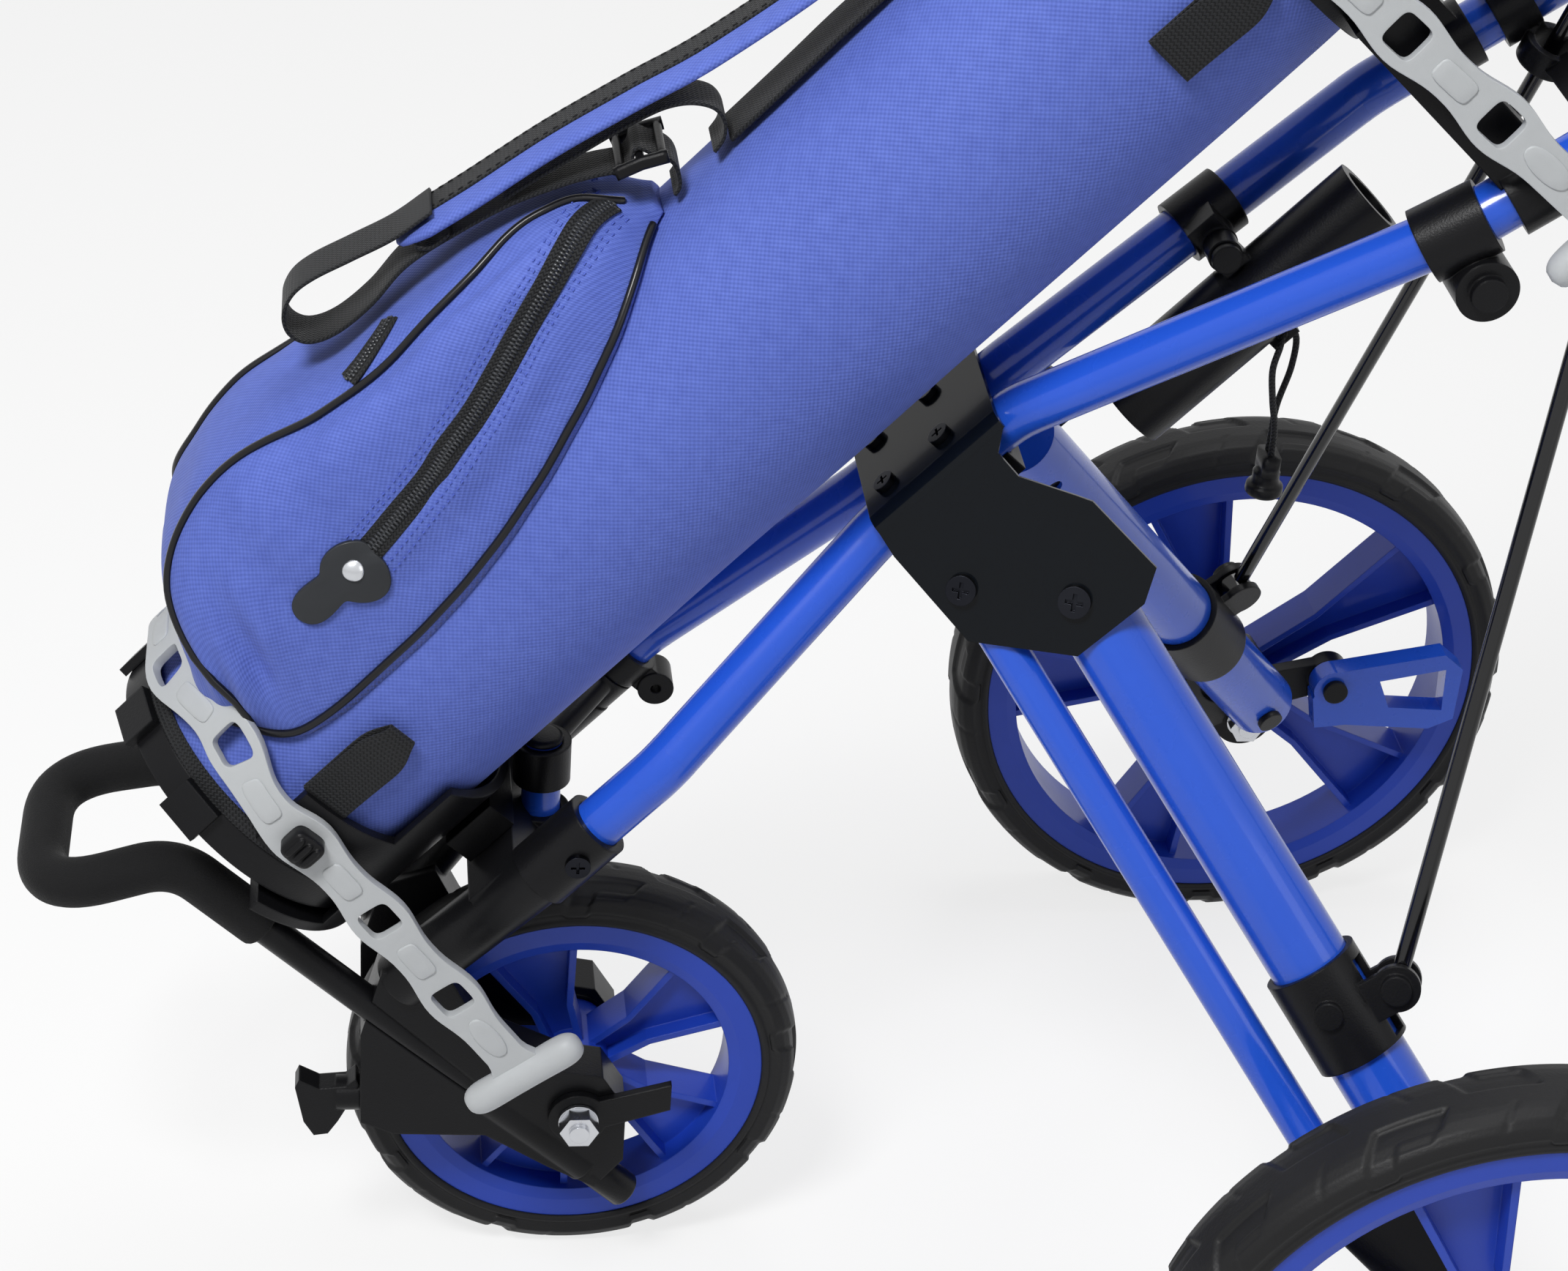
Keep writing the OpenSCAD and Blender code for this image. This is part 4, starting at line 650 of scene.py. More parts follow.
@dataclass
class Bag(Maker):
    """The bag's tube with its foot trim, top collar, spine webbing and side tabs."""

    radius: float = 75.0
    wall: float = 5.0
    foot: float = -150.0
    head: float = 575.0

    def axes(self) -> tuple[Array, Array]:
        """The bag's axis and its across direction."""
        zero = self.frame.place(0, 0, 0)
        return unit(self.frame.place(0, 0, 1) - zero), unit(self.frame.place(1, 0, 0) - zero)

    def spin(self, profile: Sequence[Sequence[float]], sides: int,
             change: Callable[[Array, Array], Array] | None = None) -> Array:
        """A profile of (radius, s) in millimetres turned about the bag's axis."""
        along, across = self.axes()
        return lathe(np.asarray(profile, float) * MM, self.frame.place(0, 0, 0), along, across,
                     sides, change)

    def sleeve(self) -> Piece:
        """The canvas sleeve: its radius dips under each strap and ripples a little between them."""
        foot, head, radius, inner = self.foot, self.head, self.radius, self.radius - self.wall
        s = np.linspace(foot + 3, head - 2, 240)
        outer = np.stack([np.full_like(s, radius), s], axis=1)
        profile = np.vstack([[0, foot], [radius - 2, foot], [radius - 0.4, foot + 1], outer,
                             [radius - 1, head - 0.5], [radius - 2.5, head], [inner + 1, head - 0.5],
                             [inner, head - 3], [inner, 300], [inner, foot + 5], [0, foot + 5]])

        def ripple(a: Array, row: Array) -> Array:
            """Soft waves and the pull of the straps, in metres, on the outer wall alone."""
            at = profile[row, 1]
            outside = ((row >= 3) & (row < 3 + len(s))).astype(float)
            wave = (0.45 * np.sin(3 * a + at / 61) * np.sin(at / 47 + 1.3)
                    + 0.35 * np.sin(5 * a - at / 33) + 0.25 * np.sin(2 * a + at / 19))
            pull = 0.9 * hump(at, UPPER_PEG, 16) + 0.7 * hump(at, LOWER_PEG, 16)
            slack = 1.5 * hump(at, 240, 150) * hump(np.cos(a), 1.0, 0.5)
            return outside * (0.35 * wave - 0.9 - pull - slack) * MM

        obj = Builder().grid(self.spin(profile, 176, ripple)).make("bag_sleeve")
        self.dress(obj, "bag_canvas")
        obj.data.materials.append(self.wardrobe.materials["lining_dark"])
        centre = np.zeros(len(obj.data.polygons) * 3, np.float32)
        obj.data.polygons.foreach_get("center", centre)
        rel = centre.reshape(-1, 3) - self.frame.place(0, 0, 0)
        along, across = self.axes()
        radial = np.hypot(rel @ across, rel @ LEFT)
        inside = (radial < (radius - 3.2) * MM) & (rel @ along > (foot + 2) * MM)
        obj.data.polygons.foreach_set("material_index", inside.astype(np.int32))
        return obj

    def trim(self) -> Piece:
        """The grosgrain band at the foot, whose section bulges between its stitched edges."""
        t = np.linspace(0, FULL_TURN, 25)
        profile = np.stack([self.radius + 0.75 + 0.62 * np.sin(t), -139.6 + 4.6 * np.cos(t)], axis=1)
        return Builder().grid(self.spin(profile, 160)).make("foot_trim")

    def collar(self) -> Piece:
        """The padded top collar with its crossing dividers."""
        middle = 593.3
        ring = np.array([73.0, middle]) + oval(41, 5.6, 17.2, 0.6, 0.45)
        b = Builder().grid(self.spin(ring, 128))
        along, _ = self.axes()
        share = np.linspace(0, 1, 24)
        for d, y in ((134 * share - 67, 0 * share), (0 * share, 67 * share)):
            line = self.frame.place(d, y, np.full(24, middle - 0.3))
            b.grid(strip(line, along, 7.0, 30.0, 3.2))
        return b.make("top_collar")

    def spine(self) -> Piece:
        """The webbing along the crown, a flat band on the sleeve."""
        s = np.linspace(236, 526, 60)
        line = self.frame.place(self.radius + 1.4 + 0.5 * hump(s, 300, 20), np.zeros(60), s)
        _, across = self.axes()
        return Builder().grid(strip(line, across, 27, 2.0, 0.9)).make("spine_webbing")

    def tabs(self) -> Piece:
        """The folded webbing tabs at the sleeve's left side: each a band that doubles over itself."""
        b = Builder()
        along, across = self.axes()
        fold = np.array([(75.9, -34), (76.0, -10), (76.3, 6), (77.0, 15), (79.0, 18.5), (80.9, 14),
                         (80.6, 4), (79.2, -10), (78.0, -24), (77.7, -34)])
        taper = 1 - 0.42 * hump(np.linspace(0, 1, 72), 0.5, 0.09)
        for middle, turn in ((-70, 89), (434, 92)):
            c, q = math.cos(math.radians(turn)), math.sin(math.radians(turn))
            line = smooth(self.frame.place(fold[:, 0] * c, fold[:, 0] * q, fold[:, 1] + middle), 72)
            side = np.broadcast_to(np.cross(along, across * c + LEFT * q), line.shape)
            normal = unit(np.cross(side, unit(np.gradient(line, axis=0))))
            b.grid(sweep(line, normal, side, round_box(25, 1.5, 0.7) * MM, taper))
        return b.make("side_tabs")

    def build(self) -> list[Piece]:
        """Makes the bag's pieces and stands them for their solids."""
        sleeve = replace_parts(self.sleeve(), "bag_body")
        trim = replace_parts(self.dress(self.trim(), "webbing_black"), "bag_trim")
        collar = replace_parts(self.dress(self.collar(), "webbing_black"), "bag_top")
        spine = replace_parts(self.dress(self.spine(), "webbing_black"), "bag_webbing")
        tabs = self.dress(self.tabs(), "webbing_black")
        return [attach(p, "cart") for p in (sleeve, trim, collar, spine, tabs)]


@dataclass
class Pocket(Maker):
    """The ball pocket: a crowned shell with piping, zips, stitches and patches.

    Args:
        tube_radius: radius of the bag's tube, on which the pocket stands.
        power: how square its section is; 1 is an ellipse.
        places: places along the bag where the next two are given.
        crowns: height of its crown off the bag's axis.
        widths: half its width at its feet.
    """

    tube_radius: float = 75.0
    power: float = 0.56
    places: tuple[float, ...] = (-112, -104, -96, -84, -62, -34, -10, 22, 52, 86, 120, 150, 172, 186, 192)
    crowns: tuple[float, ...] = (72, 88, 106, 121, 131, 137, 138, 132, 127, 126, 122, 116, 106, 90, 74)
    widths: tuple[float, ...] = (50, 62, 68, 70, 71, 71, 71, 70, 68, 64, 57, 47, 33, 17, 10)

    def section(self, s: Array, f: Array) -> tuple[Array, Array]:
        """Distances across and to the left of the plain shell, a superellipse on the sleeve.

        The angle f runs from the left foot, over the crown, to the right foot.
        """
        crown = blend_values(s, self.places, self.crowns)
        width = blend_values(s, self.places, self.widths)
        base = np.sqrt(self.tube_radius ** 2 - width ** 2)
        share = np.abs(np.sin(f)) ** self.power
        return base + (crown - base) * share, width * bulge(np.cos(f), self.power)

    def shape(self, s: Array, f: Array) -> Array:
        """The sewn shell in metres: the plain one moved outwards or inwards by its folds."""
        d, y = self.section(s, f)
        q = np.abs(np.sin(f)) ** self.power
        # each fold: its height in mm, where it lies up the section (q), where along the bag (s)
        at_foot = np.clip(np.sin(np.clip(f, 0, math.pi)) * 4, 0, 1)
        fade = at_foot * step(s, -111, -96) * step(-s, -190, -172)
        roll = 4.2 * hump(q, 0.80, 0.13) * step(s, -20, 30) * step(-s, -165, -120)
        crease = -3.0 * hump(q, 0.93, 0.035) * step(s, -6, 30) * step(-s, -168, -130)
        valley = -1.8 * hump(q, 0.5 + 0.001 * (s - 40), 0.10) * step(s, -30, 10)
        beside_zip = (2.2 * hump(q, 0.36, 0.07) - 2.6 * hump(q, 0.21, 0.07)) \
            * step(s, -40, 0) * step(-s, -150, -100)
        wave = (0.5 * np.sin(s / 13.7 + 3 * f) * np.sin(s / 29 + 2 * f)
                + 0.4 * np.sin(s / 8.3 - 5 * f + 1.7))
        move = roll + crease + valley + wave + beside_zip
        # rows of creases: middle along the bag, lean, gap between two, height, middle up the section
        for at, lean, gap, size, share in ((-96, 0.55, 21, 2.9, 0.4), (-70, 0.35, 34, 2.4, 0.5),
                                           (-20, -0.25, 47, 1.5, 0.575), (60, 0.7, 38, 1.3, 0.3)):
            lap = (s - at + lean * (1 - q) * 90) / gap
            folds = np.cos(lap * FULL_TURN + np.sign(np.cos(f)) * 0.6)
            move = move + size * folds * hump(s, at, 34) * hump(q, share, 0.34)
        heart = 34  # the folds push away from a line this far off the bag's axis
        rise = d - heart
        r = np.hypot(y, rise) + 1e-6
        return self.frame.place(d + move * fade * rise / r, y + move * fade * y / r, s)

    def normal(self, s: Array, f: Array) -> Array:
        """Outward direction of the shell, from small steps along and across it."""
        du = self.shape(s + 1.5, f) - self.shape(s - 1.5, f)
        dv = self.shape(s, f + 0.02) - self.shape(s, f - 0.02)
        n = unit(np.cross(du, dv))
        inside = self.frame.place(40.0, 0.0, s)
        return n * np.sign(np.sum(n * (self.shape(s, f) - inside), axis=-1, keepdims=True))

    def angle(self, ratio: Array, right: bool = False) -> Array:
        """The section angle at which the shell stands at that share of its crown's height."""
        f = np.arcsin(np.clip(ratio, 0, 1) ** (1 / self.power))
        return math.pi - f if right else f

    def shell(self) -> Piece:
        """The shell: sections along the bag, closed underneath on the sleeve and at both ends."""
        s = np.linspace(self.places[0], self.places[-1], 230)[:, None]
        t = np.linspace(0, 1, 150)[None, :]
        f = math.pi * (t - 0.055 * np.sin(4 * math.pi * t))
        top = self.shape(s * np.ones_like(f), f * np.ones_like(s))
        k = np.linspace(-1, 1, 26)[None, 1:]
        under_y = k * blend_values(s, self.places, self.widths)
        sunk = 0.8
        under_d = np.sqrt((self.tube_radius - sunk) ** 2 - under_y ** 2)
        under = self.frame.place(under_d, under_y, s * np.ones_like(k))
        grid = np.concatenate([top, under], axis=1)
        grid[:, -1] = grid[:, 0]
        return Builder().grid(capped(grid)).make("pocket_shell")

    def line(self, points: Sequence[tuple[float, float]], count: int, right: bool = False,
             lift: float = 0.0) -> tuple[Array, Array]:
        """A line on the shell through (s, share of height) points, and its outward directions."""
        p = smooth(points, count)
        s, f = p[:, 0], self.angle(p[:, 1], right)
        n = self.normal(s, f)
        return self.shape(s, f) + n * lift * MM, n

    def crown_seam(self) -> list[tuple[float, float]]:
        """Where the front panel's piping runs, as (s, share of height)."""
        return [(184, 0.93), (174, 0.985), (158, 0.99), (140, 0.985), (118, 0.965), (92, 0.95),
                (60, 0.945), (30, 0.95), (0, 0.965), (-30, 0.975), (-58, 0.972), (-74, 0.95),
                (-84, 0.90), (-90, 0.80), (-93, 0.62), (-95, 0.42), (-98, 0.22), (-103, 0.06)]

    def zip_seam(self) -> list[tuple[float, float]]:
        """Where the side zip runs, as (s, share of height)."""
        return [(180, 0.93), (171, 0.86), (158, 0.76), (140, 0.67), (115, 0.60), (85, 0.54),
                (50, 0.50), (22, 0.465), (2, 0.44)]

    def piping(self) -> Piece:
        """Cord piping along both panel seams and both feet."""
        b = Builder()
        for right in (False, True):
            line, _ = self.line(self.crown_seam(), 150, right, 0.7)
            b.grid(tube(line, 1.9 * MM, 10))
            s = np.linspace(-110, 187, 150)
            foot = self.shape(s, np.full(150, math.pi - 0.004 if right else 0.004))
            outward = unit(foot - self.frame.place(0.0, 0.0, s))
            b.grid(tube(foot + outward * 1.2 * MM, 1.9 * MM, 10))
        return b.make("pocket_piping")

    def teeth(self, b: Builder, line: Array, n: Array) -> None:
        """Adds two rows of interleaved coil teeth, each a short rounded bar across the line."""
        tooth_gap, half_length = 0.95 * MM, 1.5 * MM
        count = int(travelled(line)[-1] / tooth_gap)
        spots = even(line, count)
        up = unit(read(np.linspace(0, 1, count), np.linspace(0, 1, len(n)), n))
        out, side = turned_frames(spots, up)
        along = unit(np.gradient(spots, axis=0))
        ring = round_box(1.1, 1.0, 0.3, 1) * MM
        for k in range(count):
            middle = (1.1 if k % 2 else -1.1) * MM
            bar = np.array([spots[k] + side[k] * (middle - half_length),
                            spots[k] + side[k] * (middle + half_length)])
            b.grid(sweep(bar, out[[k, k]], along[[k, k]], ring))

    def zips(self) -> tuple[Piece, Piece]:
        """The zips' tapes and their teeth with their pulls."""
        tape, teeth = Builder(), Builder()
        for right in (False, True):
            line, n = self.line(self.zip_seam(), 120, right, 0.5)
            tape.grid(strip(line, n, 12.5, 1.3, 0.546))
            self.teeth(teeth, line + n * 0.8 * MM, n)
        line, n = self.line([(76, 0.996), (62, 0.984), (48, 0.97)], 40, False, 0.6)
        tape.grid(strip(line, n, 11, 1.3, 0.546))
        self.teeth(teeth, line + n * 0.8 * MM, n)
        return tape.make("zip_tape"), teeth.make("zip_teeth")

    def stitches(self) -> Piece:
        """Two rows of stitches on each side of each zip, as short rods that follow the shell."""
        b = Builder()
        for right in (False, True):
            p = smooth(self.zip_seam(), 97)
            s, f = p[:, 0], self.angle(p[:, 1], right)
            _, side = turned_frames(*self.line(self.zip_seam(), 97, right))
            ds = (self.shape(s + 1.0, f) - self.shape(s - 1.0, f)) / 2
            df = (self.shape(s, f + 0.01) - self.shape(s, f - 0.01)) / 0.02
            for off in (-11.5, -8.6, 8.6, 11.5):
                step_s, step_f = (np.sum(side * way, axis=1) / np.sum(way * way, axis=1) * off * MM
                                  for way in (ds, df))
                at_s, at_f = s + step_s, np.clip(f + step_f, 0.03, math.pi - 0.03)
                row = self.shape(at_s, at_f) + self.normal(at_s, at_f) * 0.3 * MM
                for before, here in zip(row[0:95:2], row[1:96:2]):
                    b.grid(tube(np.array([before + (here - before) * 0.2, here]), 0.42 * MM, 6))
        return b.make("pocket_stitches")

    def patch_outline(self) -> Array:
        """A round head and a smaller lobe in one outline, smoothed, with a dent where the zip ends."""
        a = np.linspace(0, FULL_TURN, 145)
        head, lobe, reach, lobe_way = 14.5, 10.0, 26.0, 3.08
        away = a - lobe_way
        gap = np.sqrt(np.maximum(lobe ** 2 - (reach * np.sin(away)) ** 2, 0.0))
        r = np.where((np.cos(away) > 0) & (gap > 0), reach * np.cos(away) + gap, head)
        kernel = hump(np.arange(-6, 7) * 1.0, 0.0, 3.0)
        r = np.convolve(np.concatenate([r[-7:-1], r, r[1:7]]), kernel / kernel.sum(), "valid")
        r -= 2.2 * hump(np.minimum(a, FULL_TURN - a), 0.0, 0.35)
        outline = np.stack([r * np.cos(a), r * np.sin(a)], axis=1)
        outline[-1] = outline[0]
        return outline

    def patch(self) -> tuple[Piece, Piece]:
        """The leather end patch of each side zip with its rivet, laid on the shell."""
        leather, rivet = Builder(), Builder()
        dome = [(0.0, 2.0), (5.0, 2.0), (5.0, 2.6), (4.4, 3.3), (3.0, 4.1), (1.5, 4.5), (0.0, 4.6)]
        for right in (False, True):
            s0, share, nudge = -6.0, 0.43, 0.02
            f0 = float(self.angle(np.array([share]), right)[0])
            turn = -1.0 if right else 1.0
            below, above = self.shape(np.full(2, s0), np.array([f0 - nudge, f0 + nudge]))
            mm_per_radian = np.linalg.norm(above - below) / (2 * nudge) / MM

            def lay(u: Array, v: Array, h: Array) -> Array:
                """Places the patch's own (u, v, height) on the shell."""
                s, f = s0 + u, f0 + turn * v / mm_per_radian
                return self.shape(s, f) + self.normal(s, f) * (h * MM)[..., None]

            leather.grid(plate(self.patch_outline(), 0.0, 2.2, 0.7, lay))
            rivet.grid(stacked(oval(145, 1.0, 1.0), dome, lay))
        return leather.make("zip_end_patches"), rivet.make("patch_rivets")

    def build(self) -> list[Piece]:
        """Makes the pocket's pieces and stands them for their solids."""
        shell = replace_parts(self.dress(self.shell(), "bag_canvas"), "pocket")
        tape, teeth = self.zips()
        leather, rivet = self.patch()
        pieces = [shell, self.dress(self.piping(), "piping_black"),
                  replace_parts(self.dress(tape, "webbing_black"), "pocket_zip"),
                  self.dress(teeth, "zip_black"),
                  self.dress(self.stitches(), "thread_blue"),
                  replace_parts(self.dress(leather, "patch_leather"), "zip_patch"),
                  self.dress(rivet, "zinc_steel")]
        return [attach(p, "cart") for p in pieces]


@dataclass
class CarryStrap(Maker):
    """The padded carry strap with its edge webbing, adjusting loop and glide.

    Args:
        width: width of the pad.
        middle: how far its middle lies to the left.
    """

    width: float = 34.0
    middle: float = 4.0

    def path(self, points: Sequence[tuple[float, float]], count: int, y: float) -> Array:
        """A smooth line in metres through (s, d) points at one distance to the left."""
        p = smooth(points, count)
        return self.frame.place(p[:, 1], np.full(count, y), p[:, 0])

    def band(self, line: Array, ring: Array, size: Array | None = None) -> Array:
        """A section carried along a line that lies in the bag's upright plane."""
        along = unit(np.gradient(line, axis=0))
        side = np.broadcast_to(LEFT, line.shape)
        return sweep(line, unit(np.cross(side, along)), side, ring, size)

    def pad(self) -> Piece:
        """The blue pad: a lens-shaped section whose end tapers to a rounded tongue."""
        points = [(101, 145.2), (112, 143.4), (140, 137.2), (180, 129.6), (220, 119.4), (260, 108.6),
                  (330, 97.6), (420, 93.2), (500, 91.4), (522, 86.0), (540, 79.8), (558, 78.0)]
        line = self.path(points, 190, self.middle)
        tongue = np.clip(np.linspace(0, 1, 190) / 0.035, 0, 1)
        ring = oval(49, self.width / 2, 2.9, 0.5, 0.75) * MM
        return Builder().grid(self.band(line, ring, 0.35 + 0.65 * np.sqrt(tongue))).make("carry_pad")

    def edging(self) -> Piece:
        """The black webbing sewn along the pad, which lies on its outer face."""
        points = [(108, 147.2), (140, 140.4), (180, 132.6), (220, 122.4), (260, 111.6), (330, 100.6),
                  (420, 96.2), (500, 94.4), (523, 89.0), (541, 82.6), (556, 80.8)]
        band = self.band(self.path(points, 180, self.middle - 6.0), round_box(17, 1.8, 0.8) * MM)
        return Builder().grid(band).make("carry_edging")

    def loop(self) -> Piece:
        """The adjusting webbing: out of the pad, round a free loop, through the glide to the bag."""
        loop = [(124, 147.0), (104, 150.2), (84, 156.6), (66, 162.4), (54, 163.6), (44, 159.6),
                (39, 151.6), (42, 142.8), (54, 137.2), (74, 135.6), (98, 137.4), (124, 132.4),
                (150, 125.0), (172, 115.2), (184, 108.4), (190.7, 103.8), (194.6, 101.2),
                (200, 101.6), (204.4, 104.2), (207, 103.2), (208.8, 98.4), (211.4, 93.4),
                (212, 87.6), (209.6, 82), (206, 78), (202, 76.8)]
        tail = [(150, 128.8), (170, 124.6), (186, 120.6), (202, 116.8), (216, 113.0), (228, 108.6),
                (237, 102), (242, 93.4), (240.6, 85.6), (235, 80.6), (228, 78.9)]
        keeper = [(132, 139.4), (120, 141.6), (112, 143.6), (108, 141.0), (112, 136.0), (122, 134.8)]
        webbing, wider = round_box(25, 1.7, 0.75) * MM, round_box(27, 1.6, 0.7) * MM
        b = Builder()
        for points, count, ring in ((loop, 300, webbing), (tail, 90, webbing), (keeper, 50, wider)):
            b.grid(self.band(self.path(points, count, self.middle), ring))
        return b.make("strap_loop")

    def glide(self) -> Piece:
        """The three-bar glide: two side rails and three bars with round sections."""
        b = Builder()
        d, s, half = 100.0, 204.0, self.width / 2
        c, q = math.cos(math.radians(25)), math.sin(math.radians(25))

        def spot(u: Array, y: Array, h: Array) -> Array:
            """Places at u along the glide, y to the left and h off its middle."""
            return self.frame.place(d - q * u + c * h, self.middle + y, s + c * u + q * h)

        for u, lift in ((-9.5, 0.0), (0.0, 1.2), (9.5, 0.0)):
            b.grid(tube(spot(u, np.linspace(-half, half, 9), lift), 2.0 * MM, 12))
        along = np.linspace(-12, 12, 13)
        for y in (-half, half):
            line = spot(along, y, -0.08 * np.abs(along))
            b.grid(strip(line, unit(spot(0, 0, 1) - spot(0, 0, 0)), 4.4, 6.0, 1.8))
        return b.make("strap_glide")

    def stitches(self) -> Piece:
        """Stitches down both edges of the pad's webbing."""
        b = Builder()
        points = [(112, 147.6), (140, 141.5), (180, 133.7), (220, 123.5), (260, 112.7), (330, 101.7),
                  (420, 97.3), (500, 95.5)]
        for y in (-12.6, 0.6):
            line = self.path(points, 160, self.middle + y)
            for k in range(0, 158, 2):
                b.grid(tube(line[k:k + 2], 0.4 * MM, 6))
        return b.make("strap_stitches")

    def build(self) -> list[Piece]:
        """Makes the strap's pieces and stands them for their solids."""
        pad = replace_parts(self.dress(self.pad(), "bag_canvas"), "carry_strap")
        pieces = [pad, self.dress(self.edging(), "webbing_black"),
                  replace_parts(self.dress(self.loop(), "webbing_black"), "strap_webbing"),
                  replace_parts(self.dress(self.glide(), "casting_black"), "tri_glide"),
                  self.dress(self.stitches(), "thread_black")]
        return [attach(p, "cart") for p in pieces]


# --- rubber straps ---------------------------------------------------------------------
@dataclass
class LadderStrap:
    """A moulded rubber strap with square holes, raised pads and a T-shaped pull, in millimetres.

    Args:
        hook: place of its pegs along the bag.
        tail: length from the near peg to the pull's middle.
        lean: lean of the tail towards the bag's foot, in degrees.
        out: lean of the tail away from the bag, in degrees.
        climb: how far the band climbs along the bag beside the crown.
    """

    frame: BagFrame
    name: str
    hook: float
    tail: float
    lean: float
    out: float
    climb: float
    ride_radius: float = 84.6
    thick: float = 5.0
    pitch: float = 57.0
    peg: float = -2.0
    waist: float = 9.8

    @property
    def holes(self) -> int:
        """Number of holes in the tail past its first."""
        return int((self.tail - 30) // self.pitch)

    @property
    def arc_pitch(self) -> float:
        """Length between two holes over the crown: a fifth of the way from peg to peg."""
        return self.ride_radius * (math.pi - 2 * math.asin(self.peg / self.ride_radius)) / 5

    def turn(self, l: Array) -> Array:
        """Angle round the bag, which stays at the near peg's down the tail."""
        return math.asin(self.peg / self.ride_radius) - np.minimum(l, 0) / self.ride_radius

    def centre(self, l: Array) -> Array:
        """The middle line as (d, y, s): an arc over the crown while l < 0, then a straight tail."""
        r, theta = self.ride_radius, self.turn(l)
        down, soft = np.maximum(l, 0), 8.0
        run = np.sqrt(down ** 2 + soft ** 2) - soft
        d = r * np.sin(theta) - down * math.cos(math.radians(self.lean))
        y = r * np.cos(theta) + run * math.tan(math.radians(self.out))
        s = (self.hook - run * math.tan(math.radians(self.lean))
             + self.climb * hump(np.degrees(theta), 40, 20) * step(-l, 0, 25))
        return np.stack([d, y, s], axis=-1)

    def spot(self, l: Array, w: Array, h: Array) -> Array:
        """A place on the strap: l from the near peg down the tail, w across it, h off its middle."""
        l, w, h = np.broadcast_arrays(l, w, h)
        theta, ease = self.turn(l), step(l, 0, 30)
        push = math.tan(math.radians(self.out))
        out = np.stack([np.sin(theta) * (1 - ease) + push * ease, np.cos(theta) * (1 - ease) + ease,
                        np.zeros_like(theta)], axis=-1)
        along = unit(self.centre(l + 0.5) - self.centre(l - 0.5))
        wide = unit(np.cross(out, along))
        at = self.centre(l) + w[..., None] * wide + h[..., None] * np.cross(along, wide)
        return self.frame.place(at[..., 0], at[..., 1], at[..., 2])

    def half_width(self, l: Array, pitch: float) -> Array:
        """Half the strap's width: wide at each hole and drawn in between two."""
        return self.waist + 3.7 * (0.5 + 0.5 * np.cos(FULL_TURN * l / pitch)) ** 1.2

    def cell(self, middle: float, pitch: float, hole: float) -> Array:
        """One pitch as (l, w) rings from a rounded-square hole out to the strap's edges and cuts."""
        n = 14
        q = np.linspace(-1, 1, n + 1)[:-1]
        edge = np.concatenate([np.stack([np.ones(n), q], 1), np.stack([-q, np.ones(n)], 1),
                               np.stack([-np.ones(n), -q], 1), np.stack([q, -np.ones(n)], 1)])
        edge = np.vstack([edge, edge[0]])
        outer_l = edge[:, 0] * pitch / 2
        outer = np.stack([outer_l, edge[:, 1] * self.half_width(outer_l, pitch)], axis=1)
        a = np.arctan2(edge[:, 1], edge[:, 0])
        inner = np.stack([bulge(np.cos(a), 0.42), bulge(np.sin(a), 0.42)], axis=1) * hole
        k = np.linspace(0, 1, 9)[:, None, None]
        grid = inner[None] * (1 - k) + outer[None] * k
        grid[..., 0] += middle
        return grid

    def body(self) -> Piece:
        """The strap itself: its cells laid in its middle surface and given their thickness."""
        b = Builder()
        pitch, near, hole, peg_hole = self.pitch, self.arc_pitch, 8.3, 6.9
        arc = [self.cell(-near * k, near, hole) for k in range(1, 6)]
        peg = self.cell(0.0, pitch, peg_hole)
        peg[..., 0] *= np.where(peg[..., 0] < 0, near / pitch, 1.0)
        tail = [self.cell(pitch * k, pitch, hole) for k in range(1, self.holes + 1)]
        for grid in (*arc, peg, *tail):
            b.grid(self.spot(grid[..., 0], grid[..., 1], 0.0), closed=False)
        last = (self.holes + 0.5) * self.pitch
        l = np.linspace(last, self.tail - 2, 9)[:, None]
        w = np.linspace(-1, 1, 15)[None, :]
        flare = self.waist + 4.5 * step(l, self.tail - 16, self.tail - 2)
        b.grid(self.spot(l, w * flare, 0.0), closed=False)
        obj = b.make(self.name, merge=2e-5)
        thick = obj.modifiers.new("thickness", "SOLIDIFY")
        thick.thickness, thick.offset, thick.use_even_offset = self.thick * MM, 0.0, True
        soft = obj.modifiers.new("soft edges", "BEVEL")
        soft.width, soft.segments, soft.limit_method = 1.1 * MM, 3, "ANGLE"
        soft.angle_limit = math.radians(50)
        return obj

    def raised(self) -> Piece:
        """The raised pads between the holes, the pull's stem pad and the capsule of the pull."""
        b = Builder()
        spots = [-self.arc_pitch * (k + 0.5) for k in range(4)]
        spots += [self.pitch * (k + 0.5) for k in range(self.holes)]
        pads = [(middle, oval(49, 10.5, 5.4, 0.45, 0.45), 3.4) for middle in spots]
        pads.append(((self.holes + 0.5) * self.pitch, oval(49, 13, 5.6, 1.0, 0.8), 3.3))
        for middle, outline, top in pads:
            def lay(u: Array, v: Array, h: Array, at: float = middle) -> Array:
                """Places a pad's own (u, v, height) on the strap."""
                return self.spot(at + u, v, h)

            b.grid(plate(outline, 2.2, top, 0.7, lay))
        w = np.linspace(-1, 1, 41)
        q = bulge(w, 0.75)
        radius = 9.6 * (1 - 0.16 * (1 - w ** 2)) * np.clip(1 - np.abs(q) ** 6.0, 0, 1) ** 0.45
        circle = oval(49, 1.0, 1.0)
        length = self.tail + radius[:, None] * circle[:, 0]
        height = radius[:, None] * 0.92 * circle[:, 1]
        b.grid(self.spot(length, (33 * q)[:, None], height))
        return b.make(self.name + "_pads")


